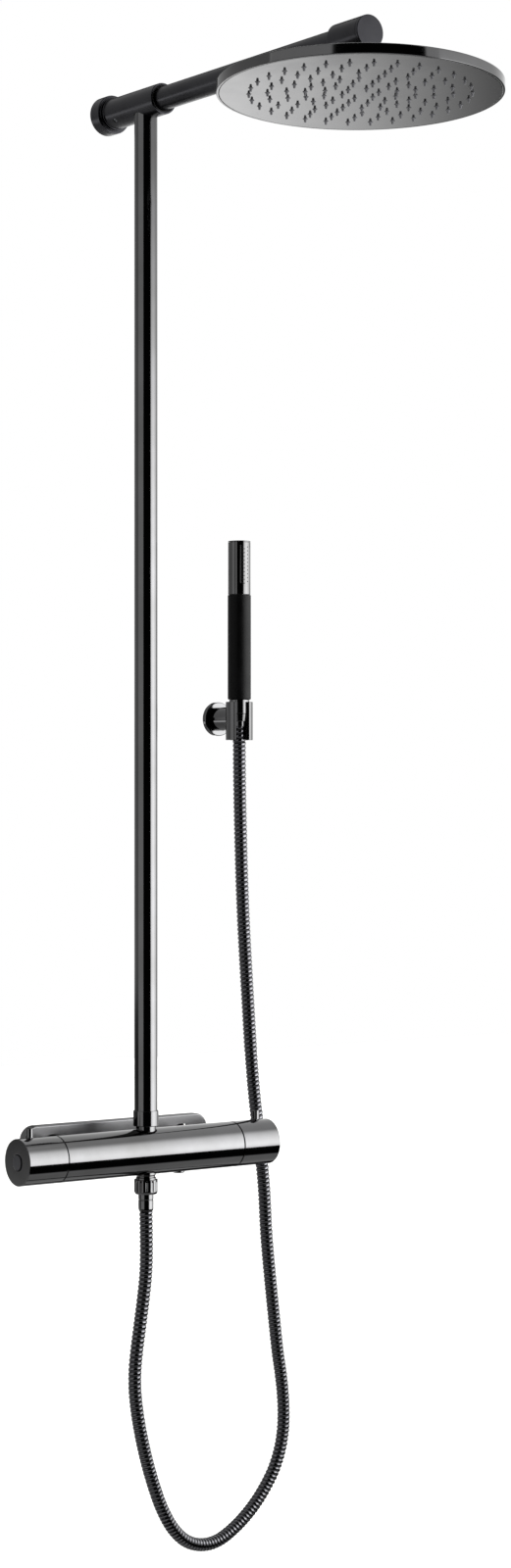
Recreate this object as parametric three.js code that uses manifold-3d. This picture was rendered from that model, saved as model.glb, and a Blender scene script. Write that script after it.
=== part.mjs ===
// Rainfall shower column: wall-fed thermostatic bar mixer, riser, overhead arm with a round
// rain head on a ball joint, and a stick handset on a metal hose in a slotted wall holder.
// Millimetres. The wall is the plane y = 0 and the column stands out of it towards -Y.
// The origin is on the wall, level with the mixer's axis and centred on the riser. +Z is up.
import * as THREE from 'three';
import { mergeVertices } from 'three/addons/utils/BufferGeometryUtils.js';
import Module from 'manifold-3d';

const wasm = await Module();
wasm.setup();

// ---- driving dimensions ---------------------------------------------------------------
const GAP = 0.3;             // air left between two neighbouring pieces
const MIXER_OUT = 68;        // mixer and riser axis, in front of the wall
const MIXER_R = 22;
const MIXER_HALF = 144.5;    // half the length over both handles
const SEAM = 102;            // where each handle meets the mixer body
const INLET_X = 75;          // half the inlet spacing
const PLATE = { w: 213, h: 52.6, corner: 14, lip: 11, deep: 21, wall: 2 };
const SKIRT = { w: 193, h: 44, corner: 10 };   // the cover's narrower back, against the wall
const TUBE_R = 11;           // riser and arm
const TUBE_WALL = 1.2;
const ARM_Z = 999;
const TEE_R = 14.7;
const TEE_FRONT = 97.4;      // tee's front rim, in front of the wall
const FLANGE_R = 18.5;
const FLANGE_DEEP = 13.9;
const BLOCK_REAR = 364;      // end block on the arm, in front of the wall
const ARM_END = 406.6;       // front face of the end cap
const HEAD_OUT = 393.2;      // rain head's centre, in front of the wall
const HEAD_R = 125;
const HEAD_Z = 947.6;        // rain head's spray face
const HEAD_THICK = 9;
const BALL_Z = 970.5;
const BALL_R = 10;
const HEAD_LEAN = 1.8;        // degrees out of level, the head's front left edge the higher
const SHOWER_X = 132.6;      // handset and holder
const SHOWER_OUT = 38.7;
const CLIP = { r: 13.4, bottom: 394.2, top: 432, slot: 13.6, slotTurn: -19.6 };
const HOLDER_Z = 415.7;
const GRIP_R = 11.7;
const GRIP_BOTTOM = 434.3;
const GRIP_TOP = 537.6;
const HANDSET_TOP = 590.9;
const HOSE_R = 6.5;
const NUT_BOTTOM = -40.2;    // lower hose nut
const PIN_X = 131;           // lever pins on the handles

// Centreline of the hose: down from the mixer, round the low loop and up to the handset.
const HOSE_ROUTE = [
  [0, -68, -56.4], [0.3, -68, -75], [0.4, -68.1, -98], [-0.4, -68.2, -117], [-2.9, -68.7, -135],
  [-6.1, -69.4, -153], [-9.6, -70.2, -171.5], [-12.9, -70.9, -189.6], [-15.1, -71.4, -207.9],
  [-14.9, -71.3, -226.6], [-12.3, -70.8, -245.7], [-8, -69.8, -265], [-2.4, -68.5, -284.7],
  [4.3, -67, -304.5], [12.3, -65.3, -324.6], [22.3, -63, -345.2], [37.5, -59.7, -367],
  [56, -55.6, -382.5], [78, -50.7, -390.5], [101, -45.5, -391], [125, -40.2, -383.2],
  [149.7, -34.7, -369.4], [169.1, -30.4, -353.2], [183, -28, -336], [191.8, -26.5, -318],
  [196.3, -26, -299.3], [197.3, -26, -279.8], [196.1, -26, -259.9], [193.3, -26.2, -239.7],
  [189.5, -26.6, -219.5], [183.7, -27.4, -179.4], [178, -28.5, -139.3], [173, -29.6, -99.5],
  [169, -30.6, -50], [162, -32, 0], [155.3, -33.5, 39], [149.8, -34.8, 84], [145.8, -35.8, 128],
  [142, -36.7, 172], [138.8, -37.4, 213], [136.3, -38, 255], [134.5, -38.4, 300],
  [133.2, -38.6, 345], [132.7, -38.7, 378], [132.6, -38.7, 407.4],
];

// ---- finishes -------------------------------------------------------------------------
const finish = (color, roughness, metalness) => ({ color, roughness, metalness });
const BLACK_CHROME = finish(0x2a2a2d, 0.16, 1);
const BLACK_SATIN = finish(0x303033, 0.32, 1);
const HOSE_METAL = finish(0x55555a, 0.28, 1);
const GRIP_BLACK = finish(0x0d0d0e, 0.62, 0);
const BRASS = finish(0xb08d57, 0.4, 1);
const STEEL = finish(0x9a9da0, 0.35, 1);
const RUBBER = finish(0x151515, 0.8, 0);
const SILICONE = finish(0x2b2b2d, 0.7, 0);
const NYLON = finish(0xd8d5cc, 0.6, 0);

const column = new THREE.Group();

function add(name, geometry, look) {
  const mesh = new THREE.Mesh(geometry, new THREE.MeshStandardMaterial(look));
  mesh.name = name;
  column.add(mesh);
}

// ---- shape helpers --------------------------------------------------------------------

// Weld a geometry, drop its empty triangles and turn its faces outwards.
function closed(geometry) {
  const bare = geometry.clone();
  for (const key of Object.keys(bare.attributes)) {
    if (key !== 'position') bare.deleteAttribute(key);
  }
  const welded = mergeVertices(bare, 1e-4);
  const p = welded.attributes.position;
  const kept = [];
  let volume = 0;
  const [a, b, c] = [new THREE.Vector3(), new THREE.Vector3(), new THREE.Vector3()];
  for (let i = 0; i < welded.index.count; i += 3) {
    const [ia, ib, ic] = [0, 1, 2].map((k) => welded.index.getX(i + k));
    if (ia === ib || ib === ic || ia === ic) continue;
    kept.push(ia, ib, ic);
    volume += a.fromBufferAttribute(p, ia).dot(
      b.fromBufferAttribute(p, ib).cross(c.fromBufferAttribute(p, ic)));
  }
  if (volume < 0) kept.reverse();
  welded.setIndex(kept);
  return welded;
}

// A solid of revolution from [radius, height] points, its axis along +Z.
function turned(profile, sides = 16) {
  const points = [...profile, profile[0]].map(([r, h]) => new THREE.Vector2(r, h));
  return closed(new THREE.LatheGeometry(points, sides).rotateX(Math.PI / 2));
}

// A plain tube or washer between two heights.
const ring = (outer, inner, low, high, sides = 16) => turned(
  [[inner, low], [outer, low], [outer, high], [inner, high]], sides);

// A plain rod between two heights.
const rod = (r, low, high, sides = 16) => turned([[0, low], [r, low], [r, high], [0, high]], sides);

const alongX = (geometry) => geometry.rotateY(Math.PI / 2);
const alongMinusX = (geometry) => geometry.rotateY(-Math.PI / 2);
const outward = (geometry) => geometry.rotateX(Math.PI / 2);   // +Z becomes -Y, out of the wall

function toManifold(geometry) {
  const g = closed(geometry);
  return new wasm.Manifold(new wasm.Mesh({
    numProp: 3,
    vertProperties: new Float32Array(g.attributes.position.array),
    triVerts: new Uint32Array(g.index.array),
  }));
}

function fromManifold(solid) {
  const mesh = solid.getMesh();
  const g = new THREE.BufferGeometry();
  g.setAttribute('position', new THREE.BufferAttribute(new Float32Array(mesh.vertProperties), 3));
  g.setIndex(new THREE.BufferAttribute(new Uint32Array(mesh.triVerts), 1));
  return closed(g);
}

const join = (...parts) => fromManifold(
  parts.map(toManifold).reduce((whole, part) => whole.add(part)));

const cut = (body, ...tools) => fromManifold(
  tools.map(toManifold).reduce((left, tool) => left.subtract(tool), toManifold(body)));

// A rounded rectangle in X and Z, extruded out of the wall between two depths.
function slab(w, h, corner, near, far) {
  const s = new THREE.Shape();
  const [x, y] = [w / 2 - corner, h / 2 - corner];
  s.absarc(x, y, corner, 0, Math.PI / 2);
  s.absarc(-x, y, corner, Math.PI / 2, Math.PI);
  s.absarc(-x, -y, corner, Math.PI, 1.5 * Math.PI);
  s.absarc(x, -y, corner, 1.5 * Math.PI, 2 * Math.PI);
  s.closePath();
  const body = new THREE.ExtrudeGeometry(s, { depth: far - near, bevelEnabled: false, curveSegments: 6 });
  return outward(body.translate(0, 0, near));
}

// ---- wall fixing behind the mixer -----------------------------------------------------

function wallPlate() {
  const { w, h, corner, lip, deep, wall } = PLATE;
  const shell = join(slab(w, h, corner, lip, deep), slab(SKIRT.w, SKIRT.h, SKIRT.corner, 0, lip + 1));
  const tray = slab(w - 2 * wall, h - 2 * wall, corner - wall, lip + wall, deep - wall);
  const back = slab(SKIRT.w - 2 * wall, SKIRT.h - 2 * wall, SKIRT.corner - wall, -1, lip + 3);
  const holes = [-INLET_X, INLET_X].map((x) => outward(rod(17.5, 15, 25)).translate(x, 0, 0));
  return cut(shell, tray, back, ...holes);
}

function mountingBracket() {
  const plate = slab(184, 36, 8, 0, 3);
  const waterHoles = [-INLET_X, INLET_X].map((x) => outward(rod(11.4, -1, 5)).translate(x, 0, 0));
  const screwHoles = [-30, 30].map((x) => outward(rod(2.9, -1, 5, 16)).translate(x, 0, 0));
  return cut(plate, ...waterHoles, ...screwHoles);
}

const wallScrew = () => outward(turned(
  [[0, 0], [2.5, 0], [2.5, 3.3], [4.8, 3.3], [4.8, 4.8], [3.2, 6.4], [0, 6.4]], 12));

const inletConnector = () => outward(turned(
  [[8, 0], [11, 0], [11, 15], [14, 15], [14, 20.5], [11, 20.5], [11, 29.5], [12.6, 29.5],
    [12.6, 32], [8, 32]], 16));

function inletNut() {
  const hex = outward(new THREE.CylinderGeometry(17.6, 17.6, 17.5, 6).rotateX(Math.PI / 2)
    .translate(0, 0, 24.5 + 8.75));
  return cut(hex, outward(rod(11.5, 20, 30, 20)), outward(rod(13, 28.9, 45, 20)));
}

// ---- mixer ----------------------------------------------------------------------------

function mixerBody() {
  const end = SEAM - GAP;
  const shell = alongX(rod(MIXER_R, -end, end, 28));
  const spigots = [-INLET_X, INLET_X].map(
    (x) => outward(rod(12.6, 34.6, MIXER_OUT - 12)).translate(x, MIXER_OUT, 0));
  const chambers = [[-end - 1, -40], [40, end + 1]].map(([a, b]) => alongX(rod(18, a, b, 20)));
  const inlets = [-INLET_X, INLET_X].map(
    (x) => outward(rod(8, 30, MIXER_OUT, 20)).translate(x, MIXER_OUT, 0));
  const passage = alongX(rod(6, -45, 45, 16));
  const sockets = [rod(9.9, 13.5, 30), rod(9.9, -30, -13.5), rod(6.5, -14, 14, 16)];
  const plugHole = rod(6.6, -30, -14, 20).translate(38, 0, 0);
  const solid = join(shell, ...spigots);
  return cut(solid, ...chambers, ...inlets, passage, ...sockets, plugHole).translate(0, -MIXER_OUT, 0);
}

// Heights along a handle count from the mixer's centre outwards.
function temperatureHandle() {
  const end = MIXER_HALF;
  const cup = turned([
    [19.5, SEAM + GAP], [MIXER_R, SEAM + GAP], [MIXER_R, end - 0.6], [21.4, end], [8.1, end],
    [7.7, end - 0.4], [7.7, 134.3], [0, 134.3], [0, 128.3], [5.3, 128.3], [5.3, 112], [9.2, 112],
    [9.2, 141.5], [19.5, 141.5]], 28);
  return drilledForPin(alongMinusX(cup), -PIN_X);
}

function flowHandle() {
  const end = MIXER_HALF;
  const cup = turned([
    [19.5, SEAM + GAP], [MIXER_R, SEAM + GAP], [MIXER_R, end - 0.6], [21.4, end], [0, end],
    [0, 128.3], [5.3, 128.3], [5.3, 112], [9.2, 112], [9.2, 141.5], [19.5, 141.5]], 28);
  return drilledForPin(alongX(cup), PIN_X);
}

const drilledForPin = (handle, x) => cut(handle, rod(2.3, 15, 30, 12).translate(x, 0, 0))
  .translate(0, -MIXER_OUT, 0);

const leverPin = (x) => turned([
  [0, 17], [2, 17], [2, 22.3], [3, 22.3], [3, 30.2], [2.6, 30.8], [0, 31]], 16)
  .translate(x, -MIXER_OUT, 0);

const safetyButton = () => alongMinusX(turned([
  [0, 145.3], [6.8, 145.3], [7.3, 144.8], [7.3, 139.5], [5.9, 139.5], [5.9, 142.8], [0, 142.8]],
28)).translate(0, -MIXER_OUT, 0);

class Helix extends THREE.Curve {
  constructor(r, low, high, turns) {
    super();
    Object.assign(this, { r, low, high, turns });
  }

  getPoint(t, target = new THREE.Vector3()) {
    const a = 2 * Math.PI * this.turns * t;
    return target.set(this.r * Math.cos(a), this.r * Math.sin(a), this.low + t * (this.high - this.low));
  }
}

// A round bar along a curve.
function bar(curve, r, sides, steps) {
  const section = new THREE.Shape();
  for (let i = 0; i < sides; i += 1) {
    const a = (2 * Math.PI * i) / sides;
    const place = i ? 'lineTo' : 'moveTo';
    section[place](r * Math.cos(a), r * Math.sin(a));
  }
  section.closePath();
  return closed(new THREE.ExtrudeGeometry(section, { steps, bevelEnabled: false, extrudePath: curve }));
}

const buttonSpring = () => alongMinusX(bar(new Helix(4.6, 135.2, 141.9, 4), 0.45, 4, 36))
  .translate(0, -MIXER_OUT, 0);

const stopRing = () => turned([
  [6, 98.6], [17.4, 98.6], [17.4, 104], [13, 104], [13, 108], [6, 108]], 16);

// The cartridge's barrel and the splined spindle that carries its handle.
const cartridge = () => turned([
  [0, 41], [14, 41], [14, 60], [17.5, 60], [17.5, 98.2], [5, 98.2], [5, 128], [0, 128]], 16);

const servicePlug = () => turned([
  [0, -23.4], [4, -23.2], [6.2, -22.4], [6.2, -16], [0, -16]], 20).translate(38, -MIXER_OUT, 0);

// ---- riser and lower hose connection --------------------------------------------------

const onMixer = (geometry) => geometry.translate(0, -MIXER_OUT, 0);

const riserNut = () => onMixer(turned([
  [9.95, 24.6], [11.6, 24.6], [12.1, 25.1], [12.1, 38.3], [11.7, 39.3], [11.35, 39.3],
  [11.35, 33.2], [9.95, 33.2]], 24));

const riserPipe = () => onMixer(ring(TUBE_R, TUBE_R - TUBE_WALL, 35.7, 990, 20));

function hoseNut() {
  const nut = turned([
    [9.95, -26.4], [11.3, -26.4], [11.3, -38.6], [10.2, NUT_BOTTOM], [7.8, NUT_BOTTOM],
    [7.8, -38.8], [9.95, -38.8]], 24);
  return onMixer(nut);
}

const lowerFerrule = () => onMixer(turned([
  [5, -56], [7.3, -56], [7.3, -38.4], [9.3, -38.4], [9.3, -36.7], [5, -36.7]], 24));

function hose() {
  const route = new THREE.CatmullRomCurve3(HOSE_ROUTE.map((p) => new THREE.Vector3(...p)));
  return bar(route, HOSE_R, 8, 66);
}

// ---- overhead arm ---------------------------------------------------------------------

const onArm = (geometry) => outward(geometry).translate(0, 0, ARM_Z);

function teeBody() {
  const barrel = onArm(turned([
    [0, 4], [TEE_R, 4], [TEE_R, 16.8], [15.6, 16.8], [15.6, 18.2], [TEE_R, 18.6],
    [TEE_R, TEE_FRONT - 0.5], [14.2, TEE_FRONT], [0, TEE_FRONT]], 28));
  const bores = [
    onArm(rod(10.4, -1, 44)),
    onArm(rod(9, 50, 82)),
    onArm(rod(TUBE_R + 0.35, 80, 110, 20)),
    onArm(rod(12.9, TEE_FRONT - 3, 110, 20)),
    rod(TUBE_R + 0.35, 970, 990.4, 20).translate(0, -MIXER_OUT, 0),
    rod(9, 985, ARM_Z, 24).translate(0, -MIXER_OUT, 0),
    grubHole(),
  ];
  return cut(barrel, ...bores);
}

// The grub screw bites the wall spigot from below, on the left.
const onGrub = (geometry) => geometry.rotateY(-0.75 * Math.PI).translate(0, -31, ARM_Z);
const grubHole = () => onGrub(rod(2.3, 8, 20, 12));
const grubScrew = () => onGrub(turned([
  [0, 10.35], [2, 10.35], [2, 14], [1, 14], [1, 12], [0, 12]], 12));

const wallBracket = () => onArm(turned([
  [2.9, 0], [16.4, 0], [16.4, 3], [10, 3], [10, 40], [6, 40], [6, 6], [2.9, 6]], 20));

const bracketScrew = () => onArm(turned([
  [0, 0.4], [2.5, 0.4], [2.5, 6.3], [4.8, 6.3], [4.8, 9.6], [2, 9.6], [2, 8], [0, 8]], 12));

const wallFlange = () => onArm(turned([
  [17, 0], [FLANGE_R, 0], [FLANGE_R, FLANGE_DEEP - 0.8], [17.8, FLANGE_DEEP], [16.4, FLANGE_DEEP],
  [16.4, 15.4], [15.05, 15.4], [15.05, 11.5], [17, 11.5]], 28));

const armTube = () => onArm(ring(TUBE_R, TUBE_R - TUBE_WALL, 82.4, BLOCK_REAR + 9.6, 20));

function endBlock() {
  const front = ARM_END - 3.2;
  const block = onArm(turned([
    [0, BLOCK_REAR], [14.2, BLOCK_REAR], [TEE_R, BLOCK_REAR + 0.5], [TEE_R, front], [0, front]], 28));
  const bores = [
    onArm(rod(TUBE_R + 0.35, BLOCK_REAR - 5, BLOCK_REAR + 10, 20)),
    onArm(rod(7, BLOCK_REAR, HEAD_OUT, 16)),
    onArm(rod(5.8, front - 4, front + 5, 20)),
    rod(4, ARM_Z - 10, ARM_Z, 16).translate(0, -HEAD_OUT, 0),
    rod(8.3, 970, 993.3, 24).translate(0, -HEAD_OUT, 0),
  ];
  return cut(block, ...bores);
}

const endCap = () => onArm(turned([
  [0, ARM_END - 6.9], [5.5, ARM_END - 6.9], [5.5, ARM_END - 2.9], [TEE_R, ARM_END - 2.9],
  [TEE_R, ARM_END - 0.5], [14.2, ARM_END], [0, ARM_END]], 28));

// ---- rain head on its ball joint ------------------------------------------------------

const onHead = (geometry) => geometry.translate(0, -HEAD_OUT, 0);

// The head and its nut turn together on the ball.
const leaning = (geometry) => geometry
  .translate(0, HEAD_OUT, -BALL_Z)
  .applyMatrix4(new THREE.Matrix4().makeRotationAxis(
    new THREE.Vector3(0.8, -0.6, 0), (-HEAD_LEAN * Math.PI) / 180))
  .translate(0, -HEAD_OUT, BALL_Z);

// Points of a circle's arc about the ball's centre, from one angle to another, in degrees.
function ballArc(r, from, to, steps) {
  return Array.from({ length: steps + 1 }, (_, i) => {
    const a = ((from + ((to - from) * i) / steps) * Math.PI) / 180;
    return [r * Math.cos(a), BALL_Z + r * Math.sin(a)];
  });
}

const ballStem = () => onHead(turned([
  ...ballArc(BALL_R, -66.4, 49.5, 6), [6.5, 981.8], [BALL_R, 981.8], [BALL_R, 984], [8, 984],
  [8, 993], [4, 993]], 20));

const ballSeal = () => onHead(turned(
  Array.from({ length: 8 }, (_, i) => {
    const a = (i * Math.PI) / 4;
    return [6 + Math.cos(a), 960.85 + Math.sin(a)];
  }), 16));

const ballNut = () => onHead(turned([
  [12.3, 959.6], [14, 959.6], [14, 975.9], [13.4, 976.5], ...ballArc(BALL_R + 0.4, 35.2, -6.6, 5),
  [12.3, 969.3]], 24));

function headShell() {
  const top = HEAD_Z + HEAD_THICK;
  return onHead(turned([
    [122.8, HEAD_Z], [124.6, HEAD_Z], [HEAD_R, HEAD_Z + 0.4], [HEAD_R, top - 1], [124, top],
    [12, top], [12, 968.6], [10.7, 968.6], [10.7, 958.4], [4.5, 958.4], [4.5, top - 1.5],
    [122.8, top - 1.5]], 48));
}

const facePlate = () => onHead(rod(122.4, HEAD_Z, HEAD_Z + 1.2, 48));
const nozzleMat = () => onHead(turned([
  [0, HEAD_Z + 1.5], [117, HEAD_Z + 1.5], [117, HEAD_Z + 3], [0, HEAD_Z + 3]], 28));

// ---- handset and holder ---------------------------------------------------------------

const atHandset = (geometry) => geometry.translate(SHOWER_X, -SHOWER_OUT, 0);

const handsetHead = () => atHandset(turned([
  [8.3, GRIP_TOP + GAP], [10.8, GRIP_TOP + GAP], [11.1, GRIP_TOP + 0.6], [11.1, 589.4],
  [9.6, 589.4], [9.6, 541.5], [8.3, 541.5]], 24));

const handsetCap = () => atHandset(turned([
  [0, 586.5], [9.3, 586.5], [9.3, 589.7], [11.1, 589.7], [11.1, HANDSET_TOP - 0.5],
  [10.6, HANDSET_TOP], [0, HANDSET_TOP]], 24));

const handsetCore = () => atHandset(turned([
  [6, 420.4], [10, 420.4], [10, 434], [8, 434], [8, 541], [6, 541]], 20));

const handsetGrip = () => atHandset(turned([
  [8.3, GRIP_BOTTOM], [11, GRIP_BOTTOM], [GRIP_R, GRIP_BOTTOM + 0.8], [GRIP_R, GRIP_TOP - 0.5],
  [11.2, GRIP_TOP], [8.3, GRIP_TOP]], 24));

const coneNut = () => atHandset(turned([
  [7.6, 412.6], [8.8, 412.6], [9.8, 419.6], [9.8, 420.1], [5, 420.1], [5, 418.5], [7.6, 418.5]], 24));

const upperFerrule = () => atHandset(turned([
  [5, 407.7], [7.2, 407.7], [7.2, 416], [5, 416]], 20));

function holderBody() {
  const barSolid = outward(rod(GRIP_R, SHOWER_OUT - 33.4, SHOWER_OUT - 6, 28))
    .translate(SHOWER_X, 0, HOLDER_Z);
  const sleeve = atHandset(turned([
    [0, CLIP.bottom], [CLIP.r - 0.4, CLIP.bottom], [CLIP.r, CLIP.bottom + 0.4],
    [CLIP.r, CLIP.top - 0.4], [CLIP.r - 0.4, CLIP.top], [0, CLIP.top]], 24));
  const socket = atHandset(turned([
    [0, CLIP.bottom - 1], [8.95, CLIP.bottom - 1], [9.25, 412.4], [10.5, 420], [10.85, CLIP.top + 1],
    [0, CLIP.top + 1]], 24));
  const slot = new THREE.BoxGeometry(CLIP.slot, 30, 60).translate(0, -15, 413)
    .rotateZ((CLIP.slotTurn * Math.PI) / 180);
  const studBore = outward(rod(6.4, 0, 22, 20)).translate(SHOWER_X, 0, HOLDER_Z);
  const grub = rod(2.3, HOLDER_Z - 15, HOLDER_Z - 3, 12).translate(SHOWER_X, -13, 0);
  return cut(join(barSolid, sleeve), socket, atHandset(slot), studBore, grub);
}

const atHolder = (geometry) => outward(geometry).translate(SHOWER_X, 0, HOLDER_Z);

const holderFlange = () => atHolder(turned([
  [6.4, 0], [16.8, 0], [16.8, 4.2], [16, 5], [6.4, 5]], 24));

const holderStud = () => atHolder(rod(6, 0, 21.6, 20));

const holderGrub = () => turned([
  [0, HOLDER_Z - 11.2], [2, HOLDER_Z - 11.2], [2, HOLDER_Z - 6.35], [0, HOLDER_Z - 6.35]], 12)
  .translate(SHOWER_X, -13, 0);

// ---- assembly -------------------------------------------------------------------------

add('mounting_bracket', mountingBracket(), STEEL);
add('wall_plate', wallPlate(), BLACK_CHROME);
for (const [side, s] of [['left', -1], ['right', 1]]) {
  const x = s * INLET_X;
  add(`bracket_screw_${side}`, wallScrew().translate(s * 30, 0, 0), STEEL);
  add(`inlet_connector_${side}`, inletConnector().translate(x, 0, 0), BRASS);
  add(`inlet_nut_${side}`, inletNut().translate(x, 0, 0), BLACK_CHROME);
  add(`inlet_gasket_${side}`, outward(ring(12.2, 8.2, 32.3, 34.3, 20)).translate(x, 0, 0), RUBBER);
  add(`check_valve_${side}`, outward(ring(7.6, 4, 35, 49, 16)).translate(x, 0, 0), NYLON);
}
add('mixer_body', mixerBody(), BLACK_CHROME);
add('thermostat_cartridge', onMixer(alongMinusX(cartridge())), BRASS);
add('temperature_stop_ring', onMixer(alongMinusX(stopRing())), NYLON);
add('temperature_handle', temperatureHandle(), BLACK_CHROME);
add('temperature_pin', leverPin(-PIN_X), BLACK_CHROME);
add('safety_button', safetyButton(), BLACK_SATIN);
add('button_spring', buttonSpring(), STEEL);
add('diverter_cartridge', onMixer(alongX(cartridge())), BRASS);
add('flow_stop_ring', onMixer(alongX(stopRing())), NYLON);
add('flow_handle', flowHandle(), BLACK_CHROME);
add('flow_pin', leverPin(PIN_X), BLACK_CHROME);
add('service_plug', servicePlug(), BLACK_CHROME);

add('riser_spigot', onMixer(ring(9.6, 7, 13.8, 32.9)), BLACK_CHROME);
add('riser_nut', riserNut(), BLACK_CHROME);
add('riser_seal', onMixer(ring(10.9, 7.5, 33.5, 35.3, 20)), RUBBER);
add('riser_pipe', riserPipe(), BLACK_CHROME);
add('hose_spigot', onMixer(ring(9.6, 6.5, -34, -13.8)), BLACK_CHROME);
add('hose_gasket_lower', onMixer(ring(9.4, 5.5, -36.4, -34.3, 20)), RUBBER);
add('hose_nut_lower', hoseNut(), BLACK_CHROME);
add('hose_ferrule_lower', lowerFerrule(), BLACK_CHROME);
add('hose', hose(), HOSE_METAL);
add('hose_ferrule_upper', upperFerrule(), BLACK_CHROME);
add('hose_cone_nut', coneNut(), BLACK_CHROME);
add('hose_gasket_upper', atHandset(ring(7.3, 5.2, 416.3, 418.2, 16)), RUBBER);

add('wall_bracket', wallBracket(), STEEL);
add('wall_bracket_screw', bracketScrew(), STEEL);
add('wall_flange', wallFlange(), BLACK_SATIN);
add('tee_body', teeBody(), BLACK_SATIN);
add('tee_grub_screw', grubScrew(), STEEL);
add('arm_seal', onArm(ring(12.6, 11.3, TEE_FRONT - 2.7, TEE_FRONT - 0.8, 28)), RUBBER);
add('arm_tube', armTube(), BLACK_SATIN);
add('arm_end_block', endBlock(), BLACK_SATIN);
add('arm_end_cap', endCap(), BLACK_SATIN);

add('ball_stem', ballStem(), BLACK_CHROME);
add('ball_seal', ballSeal(), RUBBER);
add('ball_nut', leaning(ballNut()), BLACK_CHROME);
add('head_shell', leaning(headShell()), BLACK_CHROME);
add('head_face_plate', leaning(facePlate()), BLACK_CHROME);
add('nozzle_mat', leaning(nozzleMat()), SILICONE);

add('handset_core', handsetCore(), BLACK_CHROME);
add('handset_grip', handsetGrip(), GRIP_BLACK);
add('handset_head', handsetHead(), BLACK_CHROME);
add('handset_cap', handsetCap(), BLACK_CHROME);
add('spray_sleeve', atHandset(ring(9.3, 8.3, 542, 586, 20)), SILICONE);
add('holder_flange', holderFlange(), BLACK_CHROME);
add('holder_stud', holderStud(), STEEL);
add('holder_body', holderBody(), BLACK_CHROME);
add('holder_grub_screw', holderGrub(), STEEL);

export default column;
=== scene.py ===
import math

import bmesh
import bpy
from mathutils import Matrix, Vector


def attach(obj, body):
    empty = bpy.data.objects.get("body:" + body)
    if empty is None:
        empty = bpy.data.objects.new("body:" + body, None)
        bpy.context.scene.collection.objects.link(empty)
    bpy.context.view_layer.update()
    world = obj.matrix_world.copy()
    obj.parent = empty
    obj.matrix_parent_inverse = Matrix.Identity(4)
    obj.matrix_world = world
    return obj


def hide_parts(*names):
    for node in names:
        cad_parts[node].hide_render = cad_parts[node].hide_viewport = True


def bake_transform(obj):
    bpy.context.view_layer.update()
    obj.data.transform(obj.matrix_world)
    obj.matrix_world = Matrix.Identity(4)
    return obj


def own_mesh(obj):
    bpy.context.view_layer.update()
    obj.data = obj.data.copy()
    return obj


# Rainfall shower column in black chrome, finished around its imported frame.
# Shapes are in millimetres, in the frame's own axes: the wall is the plane y = 0, the column
# stands out of it towards -Y, and the origin is level with the mixer's axis. +Z is up.

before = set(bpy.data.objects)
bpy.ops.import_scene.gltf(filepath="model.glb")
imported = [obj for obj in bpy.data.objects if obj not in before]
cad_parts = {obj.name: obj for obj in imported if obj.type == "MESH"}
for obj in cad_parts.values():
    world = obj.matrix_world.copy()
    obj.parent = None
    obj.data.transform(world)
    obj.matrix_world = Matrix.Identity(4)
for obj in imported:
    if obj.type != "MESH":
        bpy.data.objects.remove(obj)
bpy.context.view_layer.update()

MM = 0.001

# ---- sizes shared by several pieces -----------------------------------------------------
MIXER_OUT = 68.0        # mixer and riser axis, in front of the wall
MIXER_R = 22.0
MIXER_END = 144.5       # half the length over both handles
SEAM = 102.0            # where each handle meets the mixer barrel
GAP = 0.3               # air at each side of a seam
INLET_X = 75.0          # half the distance between the two inlets
TUBE_R = 11.0           # riser and arm
TUBE_WALL = 1.2
ARM_Z = 999.0
TEE_R = 14.7
TEE_FRONT = 97.4
BLOCK_REAR = 364.0
ARM_END = 406.6
HEAD_OUT = 393.2
HEAD_R = 125.0
HEAD_Z = 947.6          # the spray face
BALL_Z = 970.5
HEAD_LEAN = 1.8         # degrees out of level, the front left edge the higher
SHOWER_X = 132.6        # handset and its holder
SHOWER_OUT = 38.7
HOLDER_Z = 415.7
PIN_X = 131.0           # lever pins of the two handles
HANDSET_R = 11.1
HOSE_R = 6.5

# Centreline of the hose: down from the mixer, round the low loop and up to the handset.
HOSE_ROUTE = [
    (0, -68, -56.4), (0.3, -68, -75), (0.4, -68.1, -98), (-0.4, -68.2, -117), (-2.9, -68.7, -135),
    (-6.1, -69.4, -153), (-9.6, -70.2, -171.5), (-12.9, -70.9, -189.6), (-15.1, -71.4, -207.9),
    (-14.9, -71.3, -226.6), (-12.3, -70.8, -245.7), (-8, -69.8, -265), (-2.4, -68.5, -284.7),
    (4.3, -67, -304.5), (12.3, -65.3, -324.6), (22.3, -63, -345.2), (37.5, -59.7, -367),
    (56, -55.6, -382.5), (78, -50.7, -390.5), (101, -45.5, -391), (125, -40.2, -383.2),
    (149.7, -34.7, -369.4), (169.1, -30.4, -353.2), (183, -28, -336), (191.8, -26.5, -318),
    (196.3, -26, -299.3), (197.3, -26, -279.8), (196.1, -26, -259.9), (193.3, -26.2, -239.7),
    (189.5, -26.6, -219.5), (183.7, -27.4, -179.4), (178, -28.5, -139.3), (173, -29.6, -99.5),
    (169, -30.6, -50), (162, -32, 0), (155.3, -33.5, 39), (149.8, -34.8, 84), (145.8, -35.8, 128),
    (142, -36.7, 172), (138.8, -37.4, 213), (136.3, -38, 255), (134.5, -38.4, 300),
    (133.2, -38.6, 345), (132.7, -38.7, 378), (132.6, -38.7, 407.4),
]


# ---- camera, studio and floor -----------------------------------------------------------

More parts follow.
